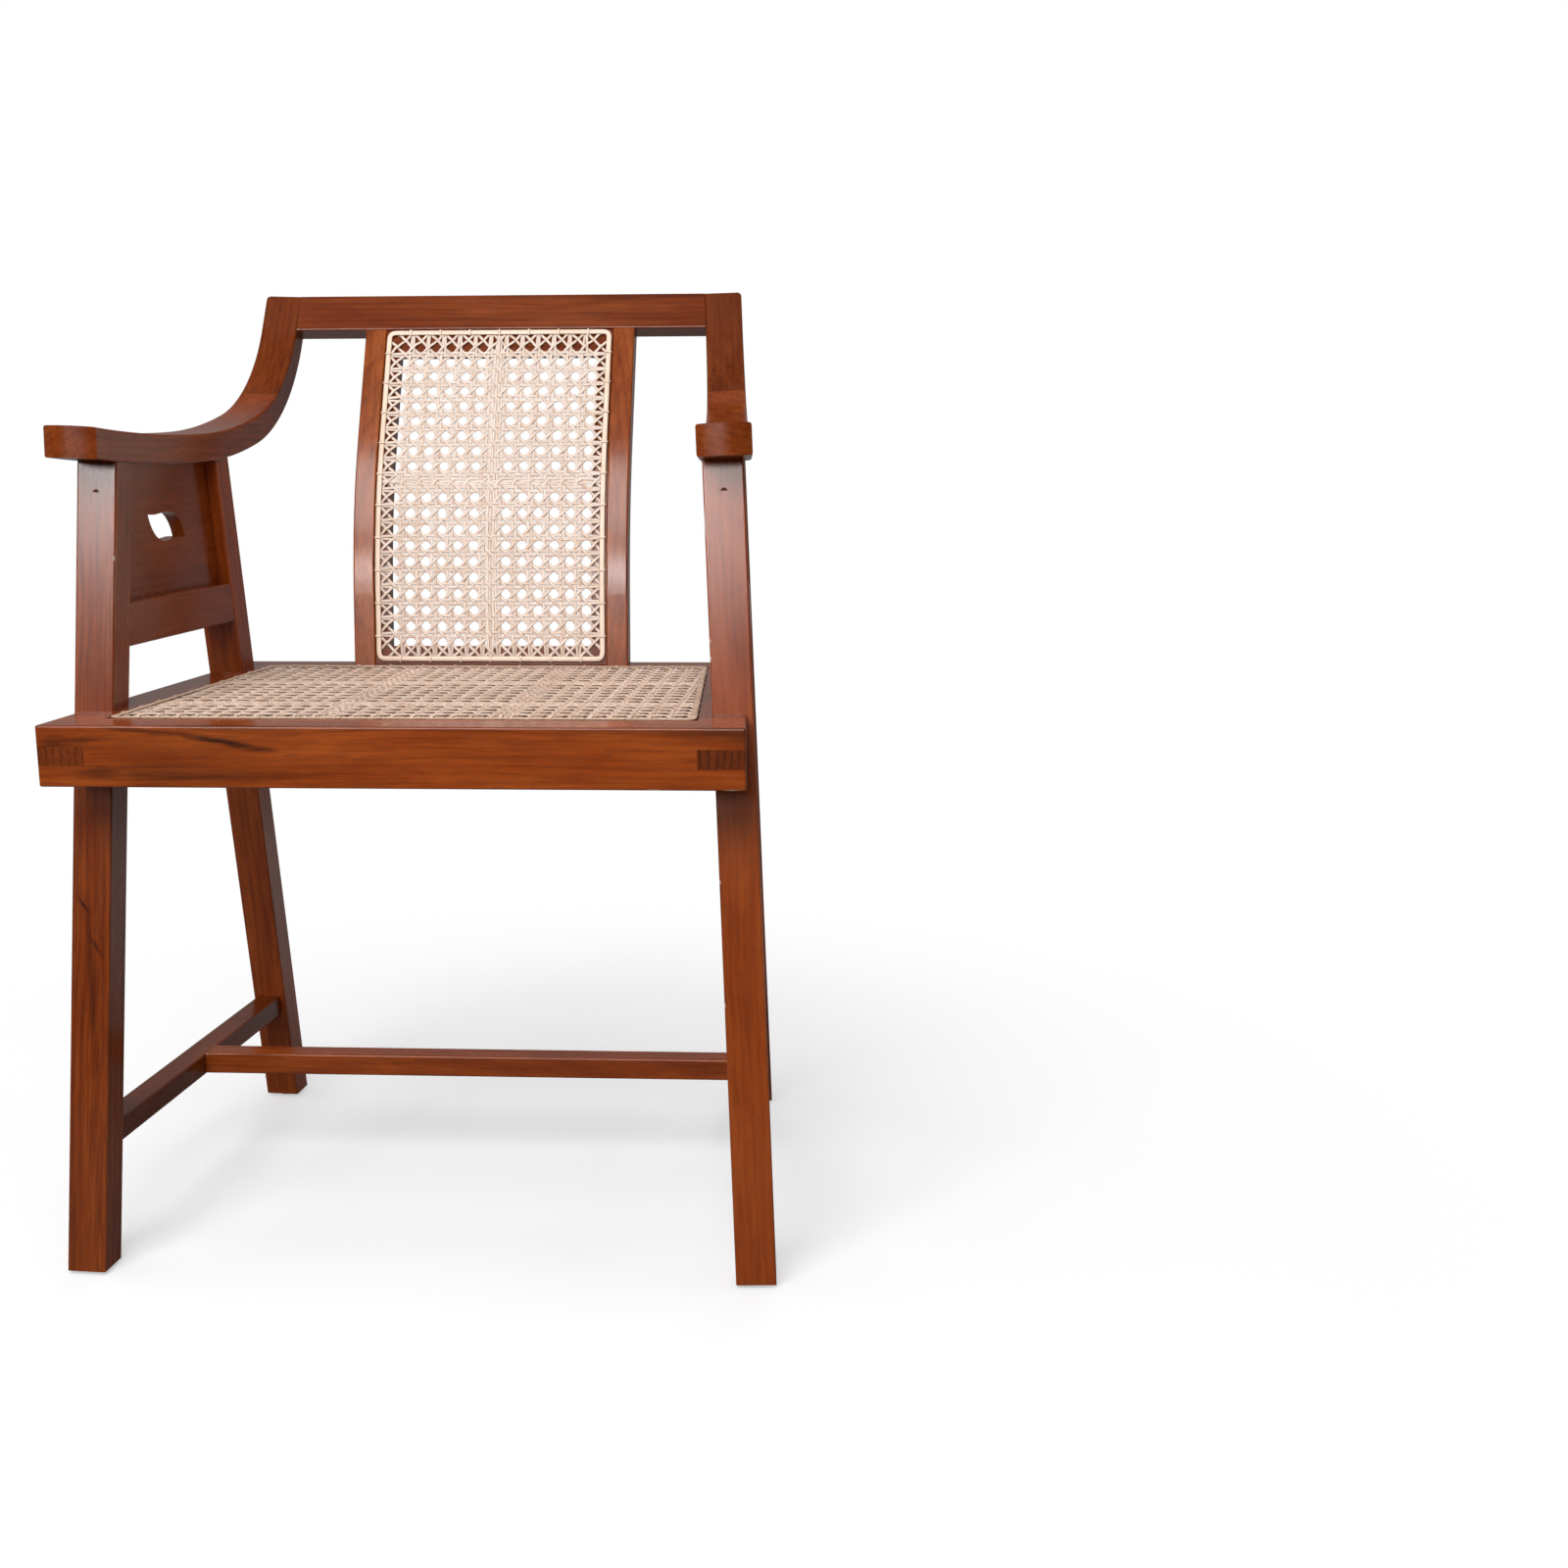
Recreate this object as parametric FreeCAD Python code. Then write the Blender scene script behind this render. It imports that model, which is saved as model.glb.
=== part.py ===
import FreeCAD, Part
import math
import os

# Wooden armchair with a caned drop-in seat and a caned back panel, in millimetres.
# The front faces -Y and +Z is up. The origin lies on the floor under the middle of the overall box.
# Left is the side at -X, as seen from the front.
# Each side frame is flat: legs, arm, post, panel and stretcher share one plane that turns in
# towards the back and leans out towards the floor. Its own axes are n (inward, across the
# frame), s (from front to back) and z (up, from the top of the seat).

# Seat frame
seat_height = 451.0
seat_front_width = 534.0
seat_depth = 392.0
toe_in_angle = 3.94
rail_height = 47.0
rail_top_width = 36.0
ledge_width = 10.0
ledge_drop = 14.0
bridle_height = 15.0
rail_edge_round = 1.6

# Drop-in seat and its cane
seat_bar_width = 26.0
seat_bar_bridle_height = 5.0
drop_in_clearance = 0.3
cane_thickness = 2.4
cane_bed_depth = 2.0
cane_pitch = 15.4
cane_gap_radius = 4.3
cane_hole_diameter = 4.8
cane_hole_inset = 3.5
cane_plug_length = 9.0
plug_clearance = 0.15
binding_width = 5.0
binding_rise = 0.9
seat_net_columns = 18
seat_net_rows = 16
seat_gap_radius = 6.2

# Legs
splay_angle = 1.88
leg_thickness = 32.0
leg_depth = 28.0
leg_stand_out = 5.9
front_leg_setback = 71.0
front_leg_lean = 6.7
rear_leg_inset = 74.0
rear_leg_lean = 13.04
leg_edge_round = 1.5
leg_tenon_thickness = 14.0
leg_tenon_shoulder = 6.0
leg_tenon_length = 14.0

# Glides under the legs
glide_height = 3.0
glide_rim_height = 1.6
glide_diameter = 21.0
glide_sole_diameter = 15.0
glide_nail_diameter = 3.0
glide_nail_length = 16.0
nail_clearance = 0.1

# Arms and posts
arm_setback = 52.0
arm_front_height = 221.0
arm_thickness = 24.0
arm_front_width = 42.0
arm_nose_rise = 7.0
arm_nose_shift = 2.2
arm_front_dip_angle = 5.0
arm_sag_turn = 7.0
arm_rise_radius = 520.0
arm_rise_turn = 12.0
arm_sweep_radius = 148.0
arm_sweep_turn = 51.4
arm_joint_turn = 20.0
arm_edge_round = 2.0
arm_curve_steps = 8
post_width = 35.0
post_thickness = 19.5
post_corner_round = 4.0
post_tenon_width = 20.0
post_tenon_thickness = 8.0
post_tenon_length = 15.0

# Crest rail
crest_overhang = 85.2
crest_height = 36.0
crest_thickness = 19.0
crest_tenon_height = 22.0
crest_tenon_thickness = 8.0
crest_tenon_length = 18.0

# Arm panels with their cut-outs, and the rails below them
panel_thickness = 11.2
groove_depth = 6.0
groove_clearance = 0.2
panel_rail_top = 83.0
panel_rail_height = 34.6
panel_rail_inset = 0.6
cutout_height_above_seat = 139.0
cutout_height = 24.0
# Where the cut-out's middle lies between the legs, and how much of that width it takes up.
cutout_place_share = 0.485
cutout_length_share = 0.393
# From the front tip over the hump to the rear tip; the lower edge is the same, turned half round.
cutout_across_shares = [-1.0, -0.6, -0.2, 0.2, 0.52, 0.8, 1.0]
cutout_up_shares = [0.93, 0.86, 0.96, 1.0, 0.7, 0.05, -0.93]
leg_peg_diameter = 5.0
leg_peg_drop = 27.0

# Stretchers
stretcher_top = 115.7
stretcher_height = 19.0
stretcher_width = 22.0
cross_stretcher_setback = 223.5
rail_tenon_thickness = 9.0
rail_tenon_length = 14.0
rail_tenon_top_shoulder = 8.0
stretcher_tenon_shoulder = 3.5
cross_tenon_length = 11.0
cross_tenon_width = 15.0

# Back: two stiles and the caned panel between them
stile_span = 259.0
stile_width = 20.0
stile_depth = 19.0
stile_edge_round = 1.5
stile_tenon_shoulder = 4.5
stile_tenon_length = 16.0
splat_inset = 26.0
splat_knee_height = 140.0
splat_bend_reach = 75.0
back_bar_width = 14.0
back_bar_depth = 12.0
back_top_bar_height = 24.0
back_bottom_bar_height = 17.5
back_bar_tenon_thickness = 5.0
back_bar_tenon_length = 8.0
back_net_columns = 13
back_net_rows = 20
# The middle column and this row, counted from the top, are woven shut.
back_net_closed_row = 9

# Fits
glue_gap = 1.0
cut_overrun = 30.0
reach = 900.0

toe = math.radians(toe_in_angle)
seat_base = seat_height - rail_height
seat_ledge = seat_height - ledge_drop
rail_width = rail_top_width + ledge_width
frame_half_width = seat_front_width / 2 + leg_stand_out
rear_leg_setback = seat_depth - rear_leg_inset
front_leg_slope = math.tan(math.radians(front_leg_lean))
rear_leg_slope = -math.tan(math.radians(rear_leg_lean))
halving_depth = (leg_stand_out + leg_thickness) / 2
leg_middle = leg_thickness / 2
post_inner = leg_middle + post_width / 2
stretcher_drop = stretcher_top - seat_height
leg_peg_height = arm_front_height - arm_thickness - leg_peg_drop
plug_radius = cane_hole_diameter / 2 - plug_clearance
panel_front = front_leg_setback + leg_depth + front_leg_slope * cutout_height_above_seat
panel_rear = rear_leg_setback + rear_leg_slope * cutout_height_above_seat
cutout_setback = panel_front + cutout_place_share * (panel_rear - panel_front)
cutout_length = cutout_length_share * (panel_rear - panel_front)

# The arm's first arc is as long as it takes to carry the crest rail the wanted overhang behind the seat.
arm_start = math.radians(-arm_front_dip_angle)
sag_end = arm_start + math.radians(arm_sag_turn)
rise_end = sag_end + math.radians(arm_rise_turn)
sweep_end = rise_end + math.radians(arm_sweep_turn)
rise_run = arm_rise_radius * (math.sin(rise_end) - math.sin(sag_end))
sweep_run = arm_sweep_radius * (math.sin(sweep_end) - math.sin(rise_end))
post_run = crest_height * math.cos(sweep_end)
sag_run = seat_depth + crest_overhang - arm_setback - rise_run - sweep_run - post_run
arm_sag_radius = sag_run / (math.sin(sag_end) - math.sin(arm_start))


def vec(x, y, z):
    return FreeCAD.Vector(x, y, z)


frame_turn = FreeCAD.Rotation(vec(0, 0, 1), -toe_in_angle)
frame_tilt = FreeCAD.Rotation(vec(0, 1, 0), splay_angle)
side_placement = FreeCAD.Placement(vec(-frame_half_width, 0, seat_height), frame_turn.multiply(frame_tilt))


def placed(shape):
    """A shape in side frame axes, moved to the left side of the chair."""
    moved = shape.copy()
    moved.Placement = side_placement.multiply(moved.Placement)
    return moved


def mirrored(shape):
    """The right-hand twin of a left-hand shape."""
    return shape.mirror(vec(0, 0, 0), vec(1, 0, 0))


def moved_up(shape, rise):
    """A copy of a shape, lifted."""
    lifted = shape.copy()
    lifted.translate(vec(0, 0, rise))
    return lifted


def block(x0, x1, y0, y1, z0, z1):
    """A box between two corners."""
    return Part.makeBox(x1 - x0, y1 - y0, z1 - z0, vec(x0, y0, z0))


def prism(points, thrust):
    """A closed outline, swept straight."""
    return Part.Face(Part.makePolygon(points + points[:1])).extrude(thrust)


def slab(points, near, width):
    """An outline of (s, z) points in the side frame, from the offset near and width thick."""
    return prism([vec(near, s, z) for s, z in points], vec(width, 0, 0))


def long_edges(shape, least):
    """The edges of a shape that are longer than a given length."""
    return [edge for edge in shape.Edges if edge.Length > least]


# Seat frame: nested outlines, each a set distance inside the outer faces of the rails

def seat_half_width(y, inset):
    """Half the width of the seat at a depth, measured inside the rails' outer faces."""
    return seat_front_width / 2 - y * math.tan(toe) - inset / math.cos(toe)


def seat_corners(inset, z):
    """The four corners of a seat outline: front left, front right, rear right, rear left."""
    front = inset
    rear = seat_depth - inset
    front_half = seat_half_width(front, inset)
    rear_half = seat_half_width(rear, inset)
    return [
        vec(-front_half, front, z),
        vec(front_half, front, z),
        vec(rear_half, rear, z),
        vec(-rear_half, rear, z),
    ]


def seat_plate(inset, low, high):
    """A flat plate of the seat's outline."""
    return prism(seat_corners(inset, low), vec(0, 0, high - low))


def side_strip(inset, width, y0, y1, low, high):
    """A strip along the left side of the seat, between two depths."""
    points = [
        vec(-seat_half_width(y0, inset), y0, low),
        vec(-seat_half_width(y0, inset + width), y0, low),
        vec(-seat_half_width(y1, inset + width), y1, low),
        vec(-seat_half_width(y1, inset), y1, low),
    ]
    return prism(points, vec(0, 0, high - low))


def bridle_frame(ring, inset, width, tongue_width, tongue_height, low, high):
    """Part a ring into front, rear and left bars, with the side bars' tongues run through the others."""
    front_end = inset + width
    rear_end = seat_depth - inset - width
    tongue_low = (low + high - tongue_height) / 2
    tongue_high = tongue_low + tongue_height
    tongues = []
    for y0, y1 in ((inset, front_end), (rear_end, seat_depth - inset)):
        tongues.append(ring.common(side_strip(inset, tongue_width, y0, y1, tongue_low, tongue_high)))
    front = ring.common(block(-reach, reach, -cut_overrun, front_end, low, high))
    rear = ring.common(block(-reach, reach, rear_end, seat_depth + cut_overrun, low, high))
    left = ring.common(block(-reach, 0, front_end, rear_end, low, high))
    for tongue in tongues:
        front = front.cut(tongue).cut(mirrored(tongue))
        rear = rear.cut(tongue).cut(mirrored(tongue))
    left = left.fuse(tongues).removeSplitter()
    return front, rear, left


def seat_frame():
    """The four seat rails, before the legs are let in."""
    plate = seat_plate(0, seat_base, seat_height)
    plate = plate.makeFillet(rail_edge_round, plate.Edges)
    ring = plate.cut(seat_plate(rail_top_width, seat_ledge, seat_height))
    ring = ring.cut(seat_plate(rail_width, seat_base, seat_ledge))
    return bridle_frame(ring, 0, rail_width, rail_top_width, bridle_height, seat_base, seat_height)


def spaced(first, last, pitch):
    """Points on a straight line at about a given pitch, ends left out."""
    count = max(2, round((last - first).Length / pitch))
    return [first + (last - first) * (step / count) for step in range(1, count)]


def hole_places():
    """Where the cane passes down through the seat bars."""
    top = seat_height - cane_bed_depth
    corners = seat_corners(rail_top_width + drop_in_clearance + cane_hole_inset, top)
    places = []
    for index, corner in enumerate(corners):
        places += spaced(corner, corners[(index + 1) % len(corners)], cane_pitch)
    return places


def drop_in_seat():
    """The drop-in frame's bars, with a row of holes, and the plugs that hold the cane in them."""
    inset = rail_top_width + drop_in_clearance
    top = seat_height - cane_bed_depth
    ring = seat_plate(inset, seat_ledge, top).cut(seat_plate(inset + seat_bar_width, seat_ledge, top))
    bars = bridle_frame(ring, inset, seat_bar_width, seat_bar_width, seat_bar_bridle_height, seat_ledge, top)
    down = vec(0, 0, -1)
    holes = []
    plugs = []
    for place in hole_places():
        holes.append(Part.makeCylinder(cane_hole_diameter / 2, top - seat_ledge, place, down))
        plugs.append(Part.makeCylinder(plug_radius, cane_plug_length, place, down))
    holes = Part.makeCompound(holes)
    drilled = [bar.cut(holes) for bar in bars]
    return drilled, Part.makeCompound(plugs)


def seat_cane():
    """The woven seat as one holed sheet, and the binding that covers its row of holes."""
    low = seat_height - cane_bed_depth
    line = rail_top_width + drop_in_clearance + cane_hole_inset
    edge = line + binding_width / 2
    corners = seat_corners(edge, low)
    wires = [Part.makePolygon(corners + corners[:1])]
    front_left, front_right, rear_right, rear_left = corners
    for row in range(seat_net_rows):
        along = (row + 1) / (seat_net_rows + 1)
        left = front_left + (rear_left - front_left) * along
        right = front_right + (rear_right - front_right) * along
        for column in range(seat_net_columns):
            across = (column + 1) / (seat_net_columns + 1)
            centre = left + (right - left) * across
            wires.append(Part.Wire(Part.Circle(centre, vec(0, 0, 1), seat_gap_radius).toShape()))
    net = Part.makeFace(wires, "Part::FaceMakerBullseye").extrude(vec(0, 0, cane_thickness))
    rim_top = low + cane_thickness + binding_rise
    binding = seat_plate(line - binding_width / 2, low, rim_top).cut(seat_plate(edge, low, rim_top))
    return net, binding


# Side frames

def leg_outline(setback, slope, front_gap, depth):
    """Outline of a leaning leg, from below the floor to above the arm."""
    low = -seat_height - cut_overrun
    high = arm_front_height + cut_overrun
    face = setback + front_gap
    return [
        (face + slope * low, low),
        (face + depth + slope * low, low),
        (face + depth + slope * high, high),
        (face + slope * high, high),
    ]


def leg_blank(setback, slope):
    """A leg as a plain leaning bar with eased edges."""
    bar = slab(leg_outline(setback, slope, 0, leg_depth), 0, leg_thickness)
    return bar.makeFillet(leg_edge_round, long_edges(bar, seat_height))


def arm_stations():
    """Points on the arm's upper edge with their heading: three arcs, then the straight post."""
    s = arm_setback
    z = arm_front_height
    heading = arm_start
    stations = [(s, z, heading)]
    arcs = ((arm_sag_radius, sag_end), (arm_rise_radius, rise_end), (arm_sweep_radius, sweep_end))
    for radius, end in arcs:
        step = (end - heading) / arm_curve_steps
        for _ in range(arm_curve_steps):
            s += radius * (math.sin(heading + step) - math.sin(heading))
            z += radius * (math.cos(heading) - math.cos(heading + step))
            heading += step
            stations.append((s, z, heading))
    return stations


stations = arm_stations()
post_heading = sweep_end
post_foot = stations[-1][:2]
post_top = (post_foot[0] + post_run, post_foot[1] + crest_height * math.sin(post_heading))


def arm_lower_points():
    """The arm's lower edge: within the sweep it thins from the arm's thickness to the post's."""
    points = []
    for s, z, heading in stations:
        along = max(0, (heading - rise_end) / (sweep_end - rise_end))
        depth = arm_thickness + (post_thickness - arm_thickness) * along
        points.append((s + depth * math.sin(heading), z - depth * math.cos(heading)))
    return points


def spline(points, near):
    """A smooth edge through (s, z) points at one offset across the side frame."""
    curve = Part.BSplineCurve()
    curve.interpolate([vec(near, s, z) for s, z in points])
    return curve.toShape()


def beside_post(distance, depth):
    """A point a distance up the post from its foot, and some depth behind its front face."""
    s = post_foot[0] + distance * math.cos(post_heading) + depth * math.sin(post_heading)
    z = post_foot[1] + distance * math.sin(post_heading) - depth * math.cos(post_heading)
    return s, z


def over_arm():
    """Everything above the arm's lower edge, to trim what stands under the arm."""
    near = -cut_overrun
    points = arm_lower_points()
    first = points[0]
    last = points[-1]
    front = (first[0] - cut_overrun, first[1])
    ceiling = post_top[1] + cut_overrun
    corners = [last, (last[0], ceiling), (front[0], ceiling), front, first]
    edges = [spline(points, near)]
    edges += [Part.makeLine(vec(near, *a), vec(near, *b)) for a, b in zip(corners, corners[1:])]
    return Part.Face(Part.Wire(edges)).extrude(vec(leg_thickness + cut_overrun * 2, 0, 0))


def arm_plan():
    """The arm seen from above: a rounded nose, tapering to the width of the post."""
    low = -reach
    nose = arm_setback
    nose_middle = leg_middle - arm_nose_shift
    shoulder = nose + arm_nose_rise
    front_half = arm_front_width / 2
    post_half = post_width / 2
    tip = vec(nose_middle, nose, low)
    taper_end = post_foot[0]
    tail = post_top[0] + cut_overrun
    corners = [
        vec(nose_middle + front_half, shoulder, low),
        vec(leg_middle + post_half, taper_end, low),
        vec(leg_middle + post_half, tail, low),
        vec(leg_middle - post_half, tail, low),
        vec(leg_middle - post_half, taper_end, low),
        vec(nose_middle - front_half, shoulder, low),
    ]
    edges = [Part.makeLine(a, b) for a, b in zip(corners, corners[1:])]
    edges.append(Part.Arc(corners[-1], tip, corners[0]).toShape())
    return Part.Face(Part.Wire(edges)).extrude(vec(0, 0, reach * 2))


def arm_bar():
    """Arm and post as one bar, before they are parted."""
    near = leg_middle - arm_front_width
    upper = [point[:2] for point in stations]
    lower = arm_lower_points()
    corners = [upper[-1], post_top, beside_post(crest_height, post_thickness), lower[-1]]
    edges = [spline(upper, near), spline(lower, near)]
    edges.append(Part.makeLine(vec(near, *upper[0]), vec(near, *lower[0])))
    edges +=[Part.makeLine(vec(near, *a), vec(near, *b)) for a, b in zip(corners, corners[1:])]
    outline = Part.Face(Part.Wire(Part.__sortEdges__(edges)))
    bar = outline.extrude(vec(arm_front_width * 2, 0, 0)).common(arm_plan())
    end = vec(leg_middle - post_width / 2, *beside_post(crest_height, post_thickness / 2))
    corner = min(bar.Edges, key=lambda edge: edge.CenterOfMass.distanceToPoint(end))
    bar = bar.makeFillet(post_corner_round, [corner])
    return bar.makeFillet(arm_edge_round, long_edges(bar, arm_front_width * 2))


def joint_frame():
    """Placement on the cut between arm and post: its z axis runs up along the bar."""
    heading = rise_end + math.radians(arm_joint_turn)
    base_s, base_z = stations[2 * arm_curve_steps][:2]
    s = base_s + arm_sweep_radius * (math.sin(heading) - math.sin(rise_end))
    z = base_z + arm_sweep_radius * (math.cos(rise_end) - math.cos(heading))
    lean = math.degrees(math.pi / 2 - heading)
    return FreeCAD.Placement(vec(leg_middle, s, z), FreeCAD.Rotation(vec(1, 0, 0), -lean))


def arm_and_post():
    """The arm and the post, parted square across the sweep, with the post's tenon in the arm."""
    bar = arm_bar()
    joint = joint_frame()
    above = block(-reach, reach, -reach, reach, 0, reach)
    above.Placement = joint
    joint_depth = (arm_thickness + post_thickness) / 2
    half_width = post_tenon_width / 2
    front = (joint_depth - post_tenon_thickness) / 2
    rear = front + post_tenon_thickness
    tenon = block(-half_width, half_width, front, rear, -post_tenon_length, 0)
    mortise = block(-half_width, half_width, front, rear, -post_tenon_length - glue_gap, 0)
    tenon.Placement = joint
    mortise.Placement = joint
    arm = bar.cut(above).cut(mortise)
    post = bar.common(above).fuse(tenon).removeSplitter()
    return arm, post


def leg_tenon(setback, slope, over, rise):
    """The tenon on top of a leg, reaching a set rise into the arm."""
    depth = leg_depth - 2 * leg_tenon_shoulder
    near = leg_middle - leg_tenon_thickness / 2
    bar = slab(leg_outline(setback, slope, leg_tenon_shoulder, depth), near, leg_tenon_thickness)
    bar = bar.common(block(-reach, reach, -reach, reach, panel_rail_top, reach))
    return bar.cut(moved_up(over, rise))


def panel_blank(over, extra):
    """The arm panel let into its grooves all round, or the grooves if grown by some extra."""
    sink = groove_depth + extra
    low = panel_rail_top - sink
    high = arm_front_height + cut_overrun
    front = front_leg_setback + leg_depth - sink
    rear = rear_leg_setback + sink
    outline = [
        (front + front_leg_slope * low, low),
        (rear + rear_leg_slope * low, low),
        (rear + rear_leg_slope * high, high),
        (front + front_leg_slope * high, high),
    ]
    thickness = panel_thickness + 2 * extra
    return slab(outline, leg_middle - thickness / 2, thickness).cut(moved_up(over, sink))


def cutout():
    """The lobed opening in an arm panel, with a point at the upper front and the lower rear."""
    half_length = cutout_length / 2
    half_height = cutout_height / 2
    upper = []
    lower = []
    for across, up in zip(cutout_across_shares, cutout_up_shares):
        upper.append((cutout_setback + across * half_length, cutout_height_above_seat + up * half_height))
        lower.append((cutout_setback - across * half_length, cutout_height_above_seat - up * half_height))
    outline = Part.Wire([spline(upper, 0), spline(lower, 0)])
    return Part.Face(outline).extrude(vec(leg_thickness, 0, 0))


def tie(top, height, near, width, shoulder_top, shoulder_low, legs):
    """A rail between the two legs of a side frame, and its tenons' mortises."""
    low = top - height
    middle = (top + low) / 2
    front = front_leg_setback + leg_depth + front_leg_slope * middle
    rear = rear_leg_setback + rear_leg_slope * middle
    bar = block(near, near + width, front - leg_depth / 2, rear + leg_depth / 2, low, top)
    bar = bar.makeFillet(leg_edge_round, long_edges(bar, leg_depth * 2))
    for leg in legs:
        bar = bar.cut(leg)
    side = near + (width - rail_tenon_thickness) / 2
    ends = (front - rail_tenon_length, rear + rail_tenon_length)
    z0 = low + shoulder_low
    z1 = top - shoulder_top
    tenon = block(side, side + rail_tenon_thickness, ends[0], ends[1], z0, z1)
    mortise = block(side, side + rail_tenon_thickness, ends[0] - glue_gap, ends[1] + glue_gap, z0, z1)
    return bar.fuse(tenon).removeSplitter(), mortise


def below_floor():
    """Everything lower than the feet of the legs."""
    return block(-reach, reach, -reach, reach, -reach, glide_height)


def foot_place(setback, slope):
    """The middle of a leg's foot, on the floor."""
    drop = glide_height - seat_height
    foot = side_placement.multVec(vec(leg_middle, setback + slope * drop + leg_depth / 2, drop))
    return vec(foot.x, foot.y, 0)


def glide(place):
    """A domed nail-on glide."""
    sole = glide_height - glide_rim_height
    cap = Part.makeCone(glide_sole_diameter / 2, glide_diameter / 2, sole, place)
    rim = Part.makeCylinder(glide_diameter / 2, glide_rim_height, place + vec(0, 0, sole))
    nail = Part.makeCylinder(glide_nail_diameter / 2, glide_nail_length, place + vec(0, 0, glide_height))
    return cap.fuse([rim, nail]).removeSplitter()


def nail_hole(place):
    """The hole a glide's nail makes in the foot of a leg."""
    radius = glide_nail_diameter / 2 + nail_clearance
    return Part.makeCylinder(radius, glide_nail_length + glue_gap, place + vec(0, 0, glide_height))


def leg_peg_bar(radius):
    """A peg driven through the front of a front leg to the edge of the panel."""
    face = front_leg_setback + front_leg_slope * leg_peg_height
    length = leg_depth - groove_depth - groove_clearance
    return Part.makeCylinder(radius, length, vec(leg_middle, face, leg_peg_height), vec(0, 1, 0))


# Back: a bent profile in the (y, z) plane that the stiles, the side bars and the cane share

def crest_lines():
    """The crest rail's front face: its upper edge, lower edge and upward direction."""
    top = side_placement.multVec(vec(post_inner, *post_top))
    along = side_placement.Rotation.multVec(vec(0, math.cos(post_heading), math.sin(post_heading)))
    up = vec(0, along.y, along.z)
    up.normalize()
    upper = vec(0, top.y, top.z)
    return upper, upper - up * crest_height, up


crest_upper, crest_lower, crest_up = crest_lines()
crest_back = vec(0, crest_up.z, -crest_up.y)
splat_base = vec(0, seat_depth - splat_inset, seat_height)
knee_run = (crest_lower.z - seat_height - splat_knee_height) / crest_up.z
splat_knee = crest_lower - crest_up * knee_run
splat_up = (splat_knee - splat_base).normalize()
splat_back = vec(0, splat_up.z, -splat_up.y)
splat_turn = crest_up.getAngle(splat_up)
mid_back = (splat_back + crest_back).normalize()
# The bend leaves both ends straight for as long as the panel's top and bottom bars need it.
lower_room = (splat_knee - splat_base).Length - back_bottom_bar_height - drop_in_clearance
upper_room = (crest_lower - splat_knee).Length - back_top_bar_height - drop_in_clearance
tangent_run = min(splat_bend_reach, lower_room, upper_room)
splat_bend_radius = tangent_run / math.tan(splat_turn / 2)
lower_run = (splat_knee - splat_base).Length - tangent_run
bend_run = splat_bend_radius * splat_turn
upper_run = (crest_lower - splat_knee).Length - tangent_run
splat_length = lower_run + bend_run + upper_run
bend_start = splat_base + splat_up * lower_run
bend_centre = bend_start + splat_back * splat_bend_radius


def splat_point(distance):
    """A point on the back's front face and the direction into it, some distance up from the seat."""
    if distance <= lower_run:
        return splat_base + splat_up * distance, splat_back
    if distance >= lower_run + bend_run:
        return crest_lower - crest_up * (splat_length - distance), crest_back
    turn = (distance - lower_run) / splat_bend_radius
    back = splat_back * math.cos(turn) - splat_up * math.sin(turn)
    spot = bend_centre - back * splat_bend_radius
    return spot, back


def splat_edge(inset, start, stop):
    """Three edges that follow the back's profile at some depth behind its front face."""
    radius = splat_bend_radius - inset
    first = splat_base + splat_back * inset + splat_up * start
    bend_first = bend_centre - splat_back * radius
    bend_middle = bend_centre - mid_back * radius
    bend_last = bend_centre - crest_back * radius
    last = crest_lower + crest_back * inset - crest_up * stop
    return [first, bend_first, bend_middle, bend_last, last]


def bent_bar(inset, depth, x0, x1, start, stop):
    """A bar that follows the back's bend, from a start above the seat to a stop below the crest."""
    front = splat_edge(inset, start, stop)
    rear = splat_edge(inset + depth, start, stop)
    edges = []
    for first, bend_first, bend_middle, bend_last, last in (front, rear):
        edges.append(Part.makeLine(first, bend_first))
        edges.append(Part.Arc(bend_first, bend_middle, bend_last).toShape())
        edges.append(Part.makeLine(bend_last, last))
    edges.append(Part.makeLine(front[0], rear[0]))
    edges.append(Part.makeLine(front[-1], rear[-1]))
    face = Part.Face(Part.Wire(Part.__sortEdges__(edges)))
    bar = face.extrude(vec(x1 - x0, 0, 0))
    bar.translate(vec(x0, 0, 0))
    return bar


def crest_bar(height_gap, height, depth_gap, depth):
    """A long bar along the crest rail, some gap below its top and behind its front face."""
    corner = crest_upper - crest_up * height_gap + crest_back * depth_gap
    points = [
        corner,
        corner + crest_back * depth,
        corner + crest_back * depth - crest_up * height,
        corner - crest_up * height,
    ]
    points = [point + vec(-reach, 0, 0) for point in points]
    return prism(points, vec(reach * 2, 0, 0))


def outside(n):
    """Both zones of the chair that lie outside an offset across the side frames."""
    zone = placed(block(-reach, n, -reach, reach, -reach, reach))
    return [zone, mirrored(zone)]


def crest_rail():
    """The crest rail between the posts, and the mortise its tenons need."""
    bar = crest_bar(0, crest_height, 0, crest_thickness)
    bar = bar.makeFillet(leg_edge_round, long_edges(bar, reach))
    low = (crest_height - crest_tenon_height) / 2
    front = (crest_thickness - crest_tenon_thickness) / 2
    tenon = crest_bar(low, crest_tenon_height, front, crest_tenon_thickness)
    mortise = tenon.cut(outside(post_inner - crest_tenon_length - glue_gap))
    tenon = tenon.cut(outside(post_inner - crest_tenon_length))
    return bar.cut(outside(post_inner)).fuse(tenon).removeSplitter(), mortise


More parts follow.
